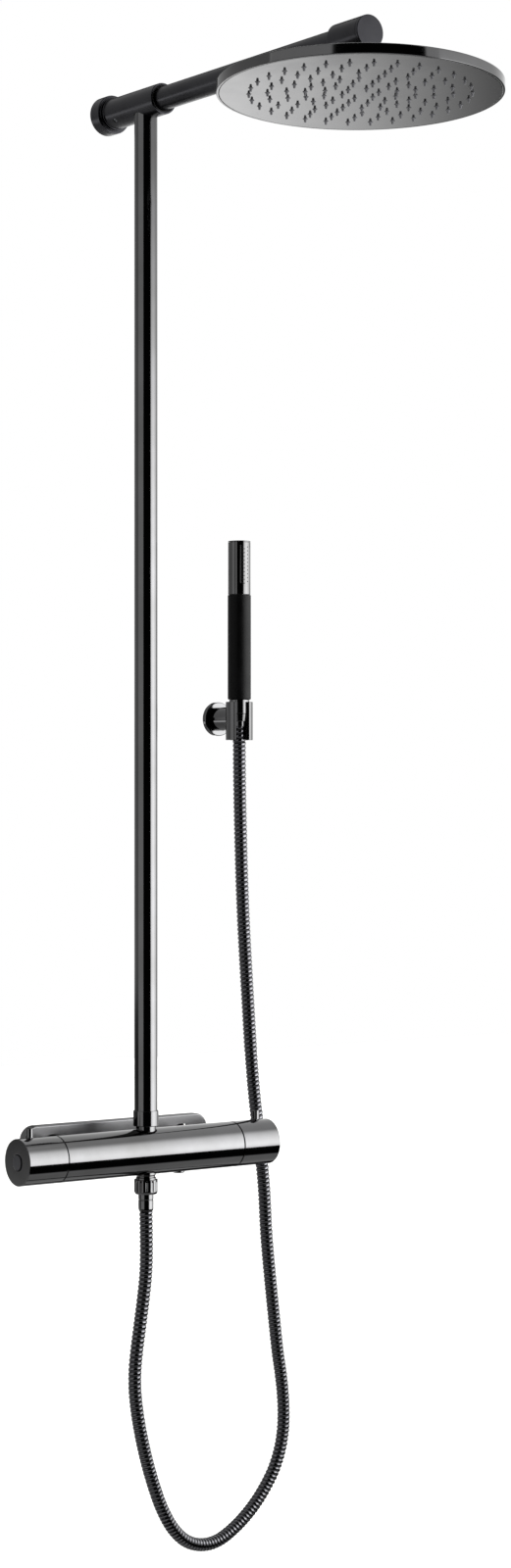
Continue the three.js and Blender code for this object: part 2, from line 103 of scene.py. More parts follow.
def set_camera():
    """A long lens level with the middle of the column, turned to it from its left."""
    lens = bpy.data.cameras.new("camera")
    lens.sensor_width = 36.0
    lens.lens = 67.914
    lens.shift_y = 0.0054
    camera = bpy.data.objects.new("camera", lens)
    camera.location = (-1.6107, -2.3873, 0.3425)
    camera.rotation_euler = (math.radians(90), 0, -0.644)
    bpy.context.collection.objects.link(camera)
    bpy.context.scene.camera = camera


def add_node(tree, kind, settings=None, inputs=None):
    """Adds a node, sets its properties, and sets or links its inputs by name or number.
    A list of sockets is linked to one input, one after another."""
    node = tree.nodes.new(kind)
    for key, value in (settings or {}).items():
        setattr(node, key, value)
    for key, value in (inputs or {}).items():
        socket = node.inputs[key]
        if isinstance(value, list):
            for source in value:
                tree.links.new(source, socket)
        elif isinstance(value, bpy.types.NodeSocket):
            tree.links.new(value, socket)
        else:
            socket.default_value = value
    return node


# Light cards round the object: compass angle of the middle in degrees, half width, lowest and
# highest elevation, brightness at the low and the high edge, and the soft width of its sides.
LIGHT_CARDS = {
    "grey_wall_right": (350, 66, -10, 58, 1.0, 1.3, 2),
    "grey_card_left": (182, 27, -12, 60, 0.95, 0.6, 2),
    "dim_wall_left": (113, 43, -4, 70, 0.45, 0.45, 2),
    "bright_card_behind": (94.5, 43.5, -18, -8, 2.1, 0.8, 8),
    "low_wall_behind": (80, 70, -24, -4, 0.11, 0.11, 6),
    "low_wall_left": (100, 52, -46, -20, 0.3, 0.35, 6),
    "ceiling": (0, 181, 60, 91, 0.35, 0.6, 1),
    "floor_bounce": (0, 181, -91, -45, 0.3, 0.7, 1),
}
DARK_ROOM = 0.006       # what lies between the cards
FOOT_SOFT = 0.01        # how far a card's lower and upper edge fade, in radians
HEAD_SOFT = 0.04


def hang_light_cards():
    """Soft light cards for the reflections, and the white backdrop that the camera sees."""
    world = bpy.data.worlds.new("studio")
    world.use_nodes = True
    tree = world.node_tree
    tree.nodes.clear()
    place = add_node(tree, "ShaderNodeTexCoord")
    axes = add_node(tree, "ShaderNodeSeparateXYZ", inputs={0: place.outputs["Generated"]})
    turn = add_node(tree, "ShaderNodeMath", {"operation": "ARCTAN2"},
                    {0: axes.outputs["Y"], 1: axes.outputs["X"]})
    rise = add_node(tree, "ShaderNodeMath", {"operation": "ARCSINE"}, {0: axes.outputs["Z"]})
    total = None
    for middle, half, low, high, low_light, high_light, soft in LIGHT_CARDS.values():
        middle, half, low, high, soft = (math.radians(a) for a in (middle, half, low, high, soft))
        off = add_node(tree, "ShaderNodeMath", {"operation": "SUBTRACT"},
                       {0: turn.outputs[0], 1: middle})
        wrapped = add_node(tree, "ShaderNodeMath", {"operation": "WRAP"},
                           {0: off.outputs[0], 1: math.pi, 2: -math.pi})
        across = add_node(tree, "ShaderNodeMath", {"operation": "ABSOLUTE"}, {0: wrapped.outputs[0]})
        sides = add_node(tree, "ShaderNodeMapRange", {"interpolation_type": "SMOOTHSTEP"},
                         {"Value": across.outputs[0], "From Min": half + soft / 2,
                          "From Max": half - soft / 2})
        foot = add_node(tree, "ShaderNodeMapRange", {"interpolation_type": "SMOOTHSTEP"},
                        {"Value": rise.outputs[0], "From Min": low - FOOT_SOFT,
                         "From Max": low + FOOT_SOFT})
        head = add_node(tree, "ShaderNodeMapRange", {"interpolation_type": "SMOOTHSTEP"},
                        {"Value": rise.outputs[0], "From Min": high + HEAD_SOFT,
                         "From Max": high - HEAD_SOFT})
        light = add_node(tree, "ShaderNodeMapRange", {},
                         {"Value": rise.outputs[0], "From Min": low, "From Max": high,
                          "To Min": low_light, "To Max": high_light})
        card = light.outputs[0]
        for mask in (sides, foot, head):
            card = add_node(tree, "ShaderNodeMath", {"operation": "MULTIPLY"},
                            {0: card, 1: mask.outputs[0]}).outputs[0]
        total = card if total is None else add_node(
            tree, "ShaderNodeMath", {"operation": "ADD"}, {0: total, 1: card}).outputs[0]
    lit = add_node(tree, "ShaderNodeMath", {"operation": "ADD"}, {0: total, 1: DARK_ROOM})
    cards = add_node(tree, "ShaderNodeBackground", {}, {
        "Color": (1, 1, 1, 1), "Strength": lit.outputs[0]})
    backdrop = add_node(tree, "ShaderNodeBackground", {}, {"Color": (1, 1, 1, 1), "Strength": 1.0})
    seen = add_node(tree, "ShaderNodeLightPath")
    mixed = add_node(tree, "ShaderNodeMixShader", {}, {
        0: seen.outputs["Is Camera Ray"], 1: cards.outputs[0], 2: backdrop.outputs[0]})
    add_node(tree, "ShaderNodeOutputWorld", {}, {"Surface": mixed.outputs[0]})
    bpy.context.scene.world = world
    bpy.context.scene.view_settings.view_transform = "Standard"


def hang_softbox():
    """One gridded softbox behind the column on its right, its upper part masked off."""
    dark_above, full_below = 1.25, 0.6
    softbox = bpy.data.lights.new("gridded_softbox", "AREA")
    softbox.shape = "RECTANGLE"
    softbox.size, softbox.size_y = 1.57, 1.62
    softbox.energy = 15.5
    softbox.spread = math.radians(104)
    softbox.use_nodes = True
    tree = softbox.node_tree
    tree.nodes.clear()
    spot = add_node(tree, "ShaderNodeNewGeometry")
    level = add_node(tree, "ShaderNodeSeparateXYZ", {}, {0: spot.outputs["Position"]})
    fading = add_node(tree, "ShaderNodeMapRange", {"interpolation_type": "SMOOTHSTEP"}, {
        "Value": level.outputs["Z"], "From Min": dark_above, "From Max": full_below})
    glow = add_node(tree, "ShaderNodeEmission", {}, {"Strength": fading.outputs[0]})
    add_node(tree, "ShaderNodeOutputLight", {}, {"Surface": glow.outputs[0]})
    panel = bpy.data.objects.new("gridded_softbox", softbox)
    facing = math.radians(313)
    panel.location = (0.823, -0.530, 0.59)
    panel.rotation_euler = (math.radians(90), 0, facing + math.radians(90))
    panel.visible_camera = False
    bpy.context.collection.objects.link(panel)


def hang_top_light():
    """One wide soft light from above, which shows in no reflection."""
    top = bpy.data.lights.new("top_light", "SUN")
    top.energy = 4.2
    top.angle = math.radians(70)
    lamp = bpy.data.objects.new("top_light", top)
    lamp.rotation_euler = (math.radians(-28), math.radians(-12), 0)
    lamp.visible_glossy = False
    bpy.context.collection.objects.link(lamp)


# ---- finishes ---------------------------------------------------------------------------

def linear(hex_colour):
    """An sRGB hex colour as the linear colour that a shader takes."""
    parts = [int(hex_colour[i:i + 2], 16) / 255 for i in (1, 3, 5)]
    return (*(p / 12.92 if p <= 0.04045 else ((p + 0.055) / 1.055) ** 2.4 for p in parts), 1.0)


def surface(name, tints, rough, cloud, grain, height, stretch=(1, 1, 1), kind="noise",
            painted_shade_by=None, **own):
    """A finish on object coordinates. tints are its two colours and rough its two roughnesses,
    mixed over patches cloud mm wide; grain is the width in mm of a relief height mm deep, drawn
    out along an axis by stretch. painted_shade_by names the mesh's attribute that takes the place
    of the patches, so that its second tint is painted shade where the attribute is high. own are
    the shader's plain values, by socket name."""
    material = bpy.data.materials.new(name)
    material.use_nodes = True
    tree = material.node_tree
    tree.nodes.clear()
    place = add_node(tree, "ShaderNodeTexCoord")
    clouds = add_node(tree, "ShaderNodeTexNoise", {}, {
        "Vector": place.outputs["Object"], "Scale": 1000 / cloud, "Detail": 4.0, "Roughness": 0.6})
    spread = add_node(tree, "ShaderNodeMapRange", {}, {
        "Value": clouds.outputs["Fac"], "From Min": 0.35, "From Max": 0.65}).outputs[0]
    # A named attribute takes the place of the patches; on the hose it paints shade, the dark tint in
    # the grooves.
    if painted_shade_by:
        spread = add_node(tree, "ShaderNodeAttribute", {"attribute_name": painted_shade_by}).outputs["Fac"]
    tint = add_node(tree, "ShaderNodeMix", {"data_type": "RGBA"}, {
        0: spread, 6: linear(tints[0]), 7: linear(tints[1])})
    gloss = add_node(tree, "ShaderNodeMapRange", {}, {
        "Value": spread, "To Min": rough[0], "To Max": rough[1]})
    drawn = add_node(tree, "ShaderNodeMapping", {}, {
        "Vector": place.outputs["Object"], "Scale": stretch})
    if kind == "cells":
        relief = add_node(tree, "ShaderNodeTexVoronoi", {}, {
            "Vector": drawn.outputs[0], "Scale": 1000 / grain}).outputs["Distance"]
    else:
        relief = add_node(tree, "ShaderNodeTexNoise", {}, {
            "Vector": drawn.outputs[0], "Scale": 1000 / grain, "Detail": 2.0}).outputs["Fac"]
    bump = add_node(tree, "ShaderNodeBump", {}, {
        "Height": relief, "Distance": height * MM, "Strength": 1.0})
    shader = add_node(tree, "ShaderNodeBsdfPrincipled", {}, {
        "Base Color": tint.outputs[2], "Roughness": gloss.outputs[0],
        "Normal": bump.outputs[0], **own})
    add_node(tree, "ShaderNodeOutputMaterial", {}, {"Surface": shader.outputs[0]})
    return material


def make_finishes():
    """One material for each finish, under the record's slot name."""
    return {
        # Black chrome, electroplated over polished brass: a smoky mirror with the faint waviness
        # of the polished tube under it and a thin water haze that dulls it in patches.
        "black_chrome": surface(
            "black_chrome_plating", ("#595959", "#616162"), (0.05, 0.10), 70, 9, 0.004,
            Metallic=1.0),
        # The same plating on the pressed cover plate, which is linished and not polished first:
        # more blurred than the turned pieces.
        "pressed_chrome": surface(
            "black_chrome_on_pressed_steel", ("#666667", "#6e6e6f"), (0.30, 0.38), 50, 4, 0.001,
            Metallic=1.0),
        # The same plating over a bead-blasted body: grain about 0.3 mm, drawn at 0.9 mm so that
        # it shows, which spreads each reflection into a soft sheen.
        "black_satin": surface(
            "black_satin_plating", ("#39393c", "#414144"), (0.26, 0.36), 40, 0.9, 0.012,
            Metallic=1.0),
        # Wound stainless strip with black plating, duller where one turn locks into the next; the
        # near-black tint in those grooves is painted shade, which makes the turns of the strip read.
        "hose_metal": surface(
            "black_wound_strip", ("#616164", "#0c0c0d"), (0.1, 0.5), 12, 1.2, 0.01,
            painted_shade_by="groove", Metallic=1.0),
        # Moulded thermoplastic elastomer with a spark-eroded skin: dead black, soft to the touch,
        # with fine pits 0.5 mm apart that are drawn at 0.9 mm.
        "grip": surface(
            "soft_touch_elastomer", ("#030303", "#050506"), (0.38, 0.48), 30, 0.9, 0.05,
            kind="cells", IOR=1.5, **{"Specular IOR Level": 0.1}),
        # Turned brass, bare inside the fittings: yellow metal with tool marks along the turning.
        "brass": surface(
            "turned_brass", ("#9c7a45", "#b8945c"), (0.22, 0.38), 25, 0.8, 0.02, (1, 8, 1),
            Metallic=1.0),
        # Zinc-plated steel of screws and brackets: pale, a little cloudy, rolled lengthwise.
        "steel": surface(
            "zinc_plated_steel", ("#8d9094", "#a8abae"), (0.28, 0.42), 9, 0.7, 0.015, (0.2, 1, 1),
            Metallic=1.0),
        # Moulded EPDM rubber seals: flat black-grey with a talc bloom.
        "rubber": surface(
            "epdm_rubber", ("#121212", "#1c1c1c"), (0.68, 0.85), 8, 0.5, 0.03, IOR=1.52),
        # Moulded silicone of the rub-clean nozzles: dark grey, waxy, slightly shiny.
        "silicone": surface(
            "moulded_silicone", ("#525255", "#626266"), (0.42, 0.58), 10, 0.6, 0.02, IOR=1.42),
        # Natural acetal of stop rings and check valves: milky, smooth, with faint flow marks.
        "nylon": surface(
            "moulded_acetal", ("#cfccc2", "#dddad1"), (0.4, 0.52), 14, 1.5, 0.01, IOR=1.48),
    }


# ---- shape helpers ----------------------------------------------------------------------

TO_LEFT = Matrix.Rotation(-math.pi / 2, 4, "Y")      # a turned piece's +Z becomes -X
TO_RIGHT = Matrix.Rotation(math.pi / 2, 4, "Y")      # +Z becomes +X
OUTWARD = Matrix.Rotation(math.pi / 2, 4, "X")       # +Z becomes -Y, out of the wall


def at(x=0.0, y=0.0, z=0.0):
    """A shift in millimetres, as a matrix in metres."""
    return Matrix.Translation((x * MM, y * MM, z * MM))


ON_MIXER = at(y=-MIXER_OUT)
ON_ARM = at(z=ARM_Z) @ OUTWARD
ON_HEAD = at(y=-HEAD_OUT)
AT_HANDSET = at(SHOWER_X, -SHOWER_OUT)
AT_HOLDER = at(SHOWER_X, 0, HOLDER_Z) @ OUTWARD


ON_AXIS = 1e-6          # a point nearer the axis than this is on it
EASED_SHARE = 0.42      # a rounded corner takes at most this share of the sides beside it
LEAST_EASE = 0.02       # a smaller rounding isn't drawn
NEARLY_STRAIGHT = math.radians(165)


def eased(outline, radius, steps=4):
    """A closed [radius, height] outline with its corners rounded; corners on the axis stay."""
    smooth = []
    for i, point in enumerate(outline):
        before, corner, after = (Vector(outline[(i + k) % len(outline)][:2]) for k in (-1, 0, 1))
        back, on = before - corner, after - corner
        reach = min(point[2] if len(point) > 2 else radius,
                    EASED_SHARE * back.length, EASED_SHARE * on.length)
        if corner.x < ON_AXIS or reach < LEAST_EASE or back.angle(on) > NEARLY_STRAIGHT:
            smooth.append(corner)
            continue
        start, end = corner + back.normalized() * reach, corner + on.normalized() * reach
        for k in range(steps + 1):
            t = k / steps
            smooth.append(start * (1 - t) ** 2 + corner * 2 * t * (1 - t) + end * t ** 2)
    return smooth


def to_mesh(bm, place=Matrix.Identity(4)):
    """A plain mesh in metres from a bmesh in millimetres, with its faces outwards."""
    bmesh.ops.remove_doubles(bm, verts=bm.verts, dist=1e-4)
    bmesh.ops.scale(bm, vec=(MM, MM, MM), verts=bm.verts)
    bmesh.ops.transform(bm, matrix=place, verts=bm.verts)
    bmesh.ops.recalc_face_normals(bm, faces=bm.faces)
    mesh = bpy.data.meshes.new("shape")
    bm.to_mesh(mesh)
    bm.free()
    return mesh


def turned(outline, place=Matrix.Identity(4), edge=0.3, sides=96):
    """A closed solid of revolution about Z from its [radius, height] outline."""
    bm = bmesh.new()
    rings = []
    for r, h in eased(outline, edge):
        around = 1 if r < ON_AXIS else sides
        rings.append([bm.verts.new((r * math.cos(2 * math.pi * k / sides),
                                    r * math.sin(2 * math.pi * k / sides), h))
                      for k in range(around)])
    for a, b in zip(rings, rings[1:] + rings[:1]):
        if len(a) == len(b) == 1:
            continue
        for k in range(sides):
            m = (k + 1) % sides
            corners = [a[k % len(a)], a[m % len(a)], b[m % len(b)], b[k % len(b)]]
            bm.faces.new(list(dict.fromkeys(corners)))
    return to_mesh(bm, place)


def tube(outer, inner, low, high, place=Matrix.Identity(4), edge=0.25, sides=96):
    """A turned tube between two heights."""
    return turned([(inner, low), (outer, low), (outer, high), (inner, high)], place, edge, sides)


def rod(r, low, high, place=Matrix.Identity(4), edge=0.0, sides=64):
    """A turned solid rod between two heights, which also serves as a drill."""
    return turned([(0, low), (r, low), (r, high), (0, high)], place, edge, sides)


def coil_spring(radius, wire, low, high, turns, place):
    """A round-wire spring along Z."""
    bm = bmesh.new()
    turn_steps, wire_sides = 32, 12
    steps, rings = turns * turn_steps, []
    for i in range(steps + 1):
        turn = 2 * math.pi * turns * i / steps
        out = Vector((math.cos(turn), math.sin(turn), 0))
        middle = out * radius + Vector((0, 0, low + (high - low) * i / steps))
        rings.append([bm.verts.new(middle + out * (wire * math.cos(math.tau * k / wire_sides))
                                   + Vector((0, 0, wire * math.sin(math.tau * k / wire_sides))))
                      for k in range(wire_sides)])
    for a, b in zip(rings, rings[1:]):
        for k in range(wire_sides):
            bm.faces.new((a[k], a[k - 1], b[k - 1], b[k]))
    bm.faces.new(rings[0])
    bm.faces.new(rings[-1][::-1])
    return to_mesh(bm, place)


def rounded_slab(w, h, corner, levels, place):
    """A rounded rectangle in X and Y, stacked through (inset, height) levels."""
    bm = bmesh.new()
    rings, corner_steps = [], 16
    for inset, z in levels:
        x, y, r = w / 2 - corner, h / 2 - corner, corner - inset
        ring = []
        for quarter, (cx, cy) in enumerate([(x, y), (-x, y), (-x, -y), (x, -y)]):
            for k in range(corner_steps + 1):
                a = math.pi / 2 * (quarter + k / corner_steps)
                ring.append(bm.verts.new((cx + r * math.cos(a), cy + r * math.sin(a), z)))
        rings.append(ring)
    for a, b in zip(rings, rings[1:]):
        for k in range(len(a)):
            m = (k + 1) % len(a)
            bm.faces.new([a[k], a[m], b[m], b[k]])
    bm.faces.new(rings[0])
    bm.faces.new(rings[-1])
    return to_mesh(bm, place)


def linked(name, mesh):
    """A new object in the scene that holds a mesh."""
    holder = bpy.data.objects.new(name, mesh)
    bpy.context.collection.objects.link(holder)
    return holder


def kept(worker):
    """The evaluated mesh of a working object, as a plain mesh; the object is removed."""
    bpy.context.view_layer.update()
    graph = bpy.context.evaluated_depsgraph_get()
    mesh = bpy.data.meshes.new_from_object(
        worker.evaluated_get(graph), preserve_all_data_layers=True, depsgraph=graph)
    bpy.data.objects.remove(worker)
    return mesh


def carved(body, join=(), cut=(), common=()):
    """Joins solids to a body, then cuts others away, then keeps what it shares with the last."""
    worker = linked("worker", body)
    tools = []
    for operation, solids in (("UNION", join), ("DIFFERENCE", cut), ("INTERSECT", common)):
        for solid in solids:
            tools.append(linked("tool", solid))
            step = worker.modifiers.new("cut", "BOOLEAN")
            step.operation, step.solver, step.object = operation, "EXACT", tools[-1]
    mesh = kept(worker)
    for tool in tools:
        bpy.data.objects.remove(tool)
    return mesh


def even_shading(mesh, sharp):
    """Smooth shading in which the large flat faces keep their own direction."""
    mesh.shade_smooth()
    mesh.set_sharp_from_angle(angle=math.radians(sharp))
    worker = linked("worker", mesh)
    weigh = worker.modifiers.new("weigh", "WEIGHTED_NORMAL")
    weigh.keep_sharp, weigh.weight, weigh.mode = True, 100, "FACE_AREA"
    return kept(worker)


def joined_flats(mesh):
    """The same shape with each flat side as one face, which drills without slivers."""
    bm = bmesh.new()
    bm.from_mesh(mesh)
    bmesh.ops.dissolve_limit(bm, angle_limit=math.radians(0.2), verts=bm.verts, edges=bm.edges)
    bm.to_mesh(mesh)
    bm.free()
    return mesh


def leaning(mesh):
    """Tips the head's parts on its ball, a little out of level."""
    mesh.transform(at(0, -HEAD_OUT, BALL_Z) @ Matrix.Rotation(
        math.radians(-HEAD_LEAN), 4, Vector((0.8, -0.6, 0))) @ at(0, HEAD_OUT, -BALL_Z))
    return mesh


def place_piece(name, mesh, body, finish, *nodes, sharp=40, look=None):
    """Makes a finished mesh a piece: its finish, the body it rides on, the parts it stands for."""
    mesh.materials.clear()
    mesh.materials.append(FINISHES[look or finish])
    mesh = even_shading(mesh, sharp)
    mesh.name = name
    piece = linked(name, mesh)
    if body is not None:
        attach(piece, body)
    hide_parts(*nodes)
    return piece


# ---- geometry nodes ---------------------------------------------------------------------

def new_tree(name, sizes):
    """An empty Geometry Nodes tree with a mesh in, a mesh out and named sizes."""
    tree = bpy.data.node_groups.new(name, "GeometryNodeTree")
    tree.interface.new_socket("Geometry", in_out="INPUT", socket_type="NodeSocketGeometry")
    for size, kind in sizes.items():
        tree.interface.new_socket(size, in_out="INPUT", socket_type=kind)
    tree.interface.new_socket("Geometry", in_out="OUTPUT", socket_type="NodeSocketGeometry")
    return tree, tree.nodes.new("NodeGroupInput").outputs


def close_tree(tree, geometry, finish):
    """Ends a tree in Realize Instances and Set Material."""
    real = add_node(tree, "GeometryNodeRealizeInstances", {}, {0: geometry})
    dressed = add_node(tree, "GeometryNodeSetMaterial", {}, {
        "Geometry": real.outputs[0], "Material": FINISHES[finish]})
    add_node(tree, "NodeGroupOutput", {}, {0: dressed.outputs[0]})


def grown(tree, mesh, sizes):
    """Runs a tree with its sizes on a mesh and keeps the result as a plain mesh."""
    worker = linked("worker", mesh)
    modifier = worker.modifiers.new("shape", "NODES")
    modifier.node_group = tree
    for item in tree.interface.items_tree:
        if item.item_type == "SOCKET" and item.in_out == "INPUT" and item.name in sizes:
            modifier[item.identifier] = sizes[item.name]
    return kept(worker)


def strip_winding():
    """Sweeps a tube along a path and sinks a spiral groove between the turns of its strip."""
    tree, size = new_tree("strip_winding", {
        "Radius": "NodeSocketFloat", "Groove": "NodeSocketFloat", "Pitch": "NodeSocketFloat",
        "Step": "NodeSocketFloat", "Sides": "NodeSocketInt"})
    path = add_node(tree, "GeometryNodeMeshToCurve", {}, {0: size["Geometry"]})
    even = add_node(tree, "GeometryNodeResampleCurve", {"mode": "LENGTH"}, {
        "Curve": path.outputs[0], "Length": size["Step"]})
    reach = add_node(tree, "GeometryNodeSplineParameter")
    along = add_node(tree, "GeometryNodeStoreNamedAttribute", {
        "data_type": "FLOAT", "domain": "POINT"}, {
        "Geometry": even.outputs[0], "Name": "along", "Value": reach.outputs["Length"]})
    circle = add_node(tree, "GeometryNodeCurvePrimitiveCircle", {}, {
        "Resolution": size["Sides"], "Radius": size["Radius"]})
    around = add_node(tree, "GeometryNodeStoreNamedAttribute", {
        "data_type": "FLOAT", "domain": "POINT"}, {
        "Geometry": circle.outputs[0], "Name": "around", "Value": reach.outputs["Factor"]})
    swept = add_node(tree, "GeometryNodeCurveToMesh", {}, {
        "Curve": along.outputs[0], "Profile Curve": around.outputs[0], "Fill Caps": True})
    run = add_node(tree, "GeometryNodeInputNamedAttribute", {"data_type": "FLOAT"}, {0: "along"})
    way = add_node(tree, "GeometryNodeInputNamedAttribute", {"data_type": "FLOAT"}, {0: "around"})
    turns = add_node(tree, "ShaderNodeMath", {"operation": "DIVIDE"}, {
        0: run.outputs[0], 1: size["Pitch"]})
    spiral = add_node(tree, "ShaderNodeMath", {"operation": "SUBTRACT"}, {
        0: turns.outputs[0], 1: way.outputs[0]})
    share = add_node(tree, "ShaderNodeMath", {"operation": "FRACT"}, {0: spiral.outputs[0]})
    centred = add_node(tree, "ShaderNodeMath", {"operation": "MULTIPLY_ADD"}, {
        0: share.outputs[0], 1: 2.0, 2: -1.0})
    side = add_node(tree, "ShaderNodeMath", {"operation": "ABSOLUTE"}, {0: centred.outputs[0]})
    hollow = add_node(tree, "ShaderNodeMath", {"operation": "POWER"}, {0: side.outputs[0], 1: 2.6})
    depth = add_node(tree, "ShaderNodeMath", {"operation": "MULTIPLY"}, {
        0: hollow.outputs[0], 1: size["Groove"]})
    inward = add_node(tree, "ShaderNodeMath", {"operation": "MULTIPLY"}, {
        0: depth.outputs[0], 1: -1.0})
    # The groove's depth is kept on the mesh for the hose finish, which paints shade into the grooves
    # with it.
    marked = add_node(tree, "GeometryNodeStoreNamedAttribute", {
        "data_type": "FLOAT", "domain": "POINT"}, {
        "Geometry": swept.outputs[0], "Name": "groove", "Value": hollow.outputs[0]})
    normal = add_node(tree, "GeometryNodeInputNormal")
    sink = add_node(tree, "ShaderNodeVectorMath", {"operation": "SCALE"}, {
        0: normal.outputs[0], "Scale": inward.outputs[0]})
    wound = add_node(tree, "GeometryNodeSetPosition", {}, {
        "Geometry": marked.outputs[0], "Offset": sink.outputs[0]})
    close_tree(tree, wound.outputs[0], "hose_metal")
    return tree


def fluting():
    """Presses even flutes into a turned piece about Z, between two heights."""
    tree, size = new_tree("fluting", {
        "Flutes": "NodeSocketInt", "Depth": "NodeSocketFloat",
        "Low": "NodeSocketFloat", "High": "NodeSocketFloat", "Radius": "NodeSocketFloat"})
    where = add_node(tree, "GeometryNodeInputPosition")
    axes = add_node(tree, "ShaderNodeSeparateXYZ", {}, {0: where.outputs[0]})
    turn = add_node(tree, "ShaderNodeMath", {"operation": "ARCTAN2"}, {
        0: axes.outputs["Y"], 1: axes.outputs["X"]})
    waves = add_node(tree, "ShaderNodeMath", {"operation": "MULTIPLY"}, {
        0: turn.outputs[0], 1: size["Flutes"]})
    wave = add_node(tree, "ShaderNodeMath", {"operation": "COSINE"}, {0: waves.outputs[0]})
    press = add_node(tree, "ShaderNodeMapRange", {"interpolation_type": "SMOOTHSTEP"}, {
        "Value": wave.outputs[0], "From Min": 0.2, "From Max": 1.0})
    depth = add_node(tree, "ShaderNodeMath", {"operation": "MULTIPLY"}, {
        0: press.outputs[0], 1: size["Depth"]})
    flat = add_node(tree, "ShaderNodeCombineXYZ", {}, {
        "X": axes.outputs["X"], "Y": axes.outputs["Y"]})
    out = add_node(tree, "ShaderNodeVectorMath", {"operation": "NORMALIZE"}, {0: flat.outputs[0]})
    reach = add_node(tree, "ShaderNodeVectorMath", {"operation": "LENGTH"}, {0: flat.outputs[0]})
    inward = add_node(tree, "ShaderNodeMath", {"operation": "MULTIPLY"}, {
        0: depth.outputs[0], 1: -1.0})
    push = add_node(tree, "ShaderNodeVectorMath", {"operation": "SCALE"}, {
        0: out.outputs[0], "Scale": inward.outputs[0]})
    above = add_node(tree, "FunctionNodeCompare", {"operation": "GREATER_THAN"}, {
        0: axes.outputs["Z"], 1: size["Low"]})
    below = add_node(tree, "FunctionNodeCompare", {"operation": "LESS_THAN"}, {
        0: axes.outputs["Z"], 1: size["High"]})
    skin = add_node(tree, "FunctionNodeCompare", {"operation": "GREATER_THAN"}, {
        0: reach.outputs["Value"], 1: size["Radius"]})
    band = add_node(tree, "FunctionNodeBooleanMath", {"operation": "AND"}, {
        0: above.outputs[0], 1: below.outputs[0]})
    chosen = add_node(tree, "FunctionNodeBooleanMath", {"operation": "AND"}, {
        0: band.outputs[0], 1: skin.outputs[0]})
    pressed = add_node(tree, "GeometryNodeSetPosition", {}, {
        "Geometry": size["Geometry"], "Selection": chosen.outputs[0], "Offset": push.outputs[0]})
    close_tree(tree, pressed.outputs[0], "black_chrome")
    return tree


NOZZLE_RINGS = [(16.1, 6), (32.2, 12), (48.3, 18), (64.4, 18), (80.5, 24), (96.6, 30)]
NOZZLE_TURN = 9.8       # compass angle of the first nozzle of each ring, degrees
COLLAR_TALL = 2.5
TIP_SUNK = 0.2          # how far a nozzle's tip starts inside its collar
TIP_ROOT_R = 1.4


def nozzle_points(tree, centre):
    """Points of the concentric nozzle rings round a centre, in a tree."""
    rings = [add_node(tree, "GeometryNodeMeshCircle", {"fill_type": "NONE"}, {
        "Vertices": count, "Radius": radius * MM}).outputs[0] for radius, count in NOZZLE_RINGS]
    joined = add_node(tree, "GeometryNodeJoinGeometry", {}, {0: rings})
    return add_node(tree, "GeometryNodeTransform", {}, {
        "Geometry": joined.outputs[0], "Translation": centre,
        "Rotation": (0, 0, math.radians(NOZZLE_TURN))}).outputs[0]


def drill_away(tree, geometry, drills):
    """Cuts a tree's drills out of its mesh and ends the tree in black chrome."""
    solid = add_node(tree, "GeometryNodeRealizeInstances", {}, {0: drills.outputs[0]})
    drilled = add_node(tree, "GeometryNodeMeshBoolean", {"operation": "DIFFERENCE"}, {
        0: geometry, 1: solid.outputs[0]})
    close_tree(tree, drilled.outputs[0], "black_chrome")


def nozzle_holes():
    """Drills the spray face where each nozzle comes through."""
    tree, size = new_tree("nozzle_holes", {
        "Centre": "NodeSocketVector", "Hole Radius": "NodeSocketFloat"})
    drill = add_node(tree, "GeometryNodeMeshCylinder", {}, {
        "Vertices": 16, "Radius": size["Hole Radius"], "Depth": 10 * MM})
    drills = add_node(tree, "GeometryNodeInstanceOnPoints", {}, {
        "Points": nozzle_points(tree, size["Centre"]), "Instance": drill.outputs["Mesh"]})
    drill_away(tree, size["Geometry"], drills)
    return tree


def nozzle_field():
    """Sets a nozzle, a collar with a tapering tip, at each point of the mat."""
    tree, size = new_tree("nozzle_field", {
        "Centre": "NodeSocketVector", "Collar Radius": "NodeSocketFloat",
        "Tip Radius": "NodeSocketFloat", "Tip Length": "NodeSocketFloat"})
    collar = add_node(tree, "GeometryNodeMeshCone", {}, {
        "Vertices": 16, "Radius Bottom": size["Collar Radius"], "Radius Top": size["Collar Radius"],
        "Depth": COLLAR_TALL * MM})
    collar_down = add_node(tree, "GeometryNodeTransform", {}, {
        "Geometry": collar.outputs["Mesh"], "Translation": (0, 0, -COLLAR_TALL * MM)})
    drop = add_node(tree, "ShaderNodeMath", {"operation": "MULTIPLY_ADD"}, {
        0: size["Tip Length"], 1: -1.0, 2: (TIP_SUNK - COLLAR_TALL) * MM})
    under = add_node(tree, "ShaderNodeCombineXYZ", {}, {"Z": drop.outputs[0]})
    tip = add_node(tree, "GeometryNodeMeshCone", {}, {
        "Vertices": 16, "Radius Bottom": size["Tip Radius"], "Radius Top": TIP_ROOT_R * MM,
        "Depth": size["Tip Length"]})
    tip_down = add_node(tree, "GeometryNodeTransform", {}, {
        "Geometry": tip.outputs["Mesh"], "Translation": under.outputs[0]})
    nozzle = add_node(tree, "GeometryNodeJoinGeometry", {}, {
        0: [collar_down.outputs[0], tip_down.outputs[0]]})
    nozzles = add_node(tree, "GeometryNodeInstanceOnPoints", {}, {
        "Points": nozzle_points(tree, size["Centre"]), "Instance": nozzle.outputs[0]})
    both = add_node(tree, "GeometryNodeJoinGeometry", {}, {
        0: [nozzles.outputs[0], size["Geometry"]]})
    close_tree(tree, both.outputs[0], "silicone")
    return tree


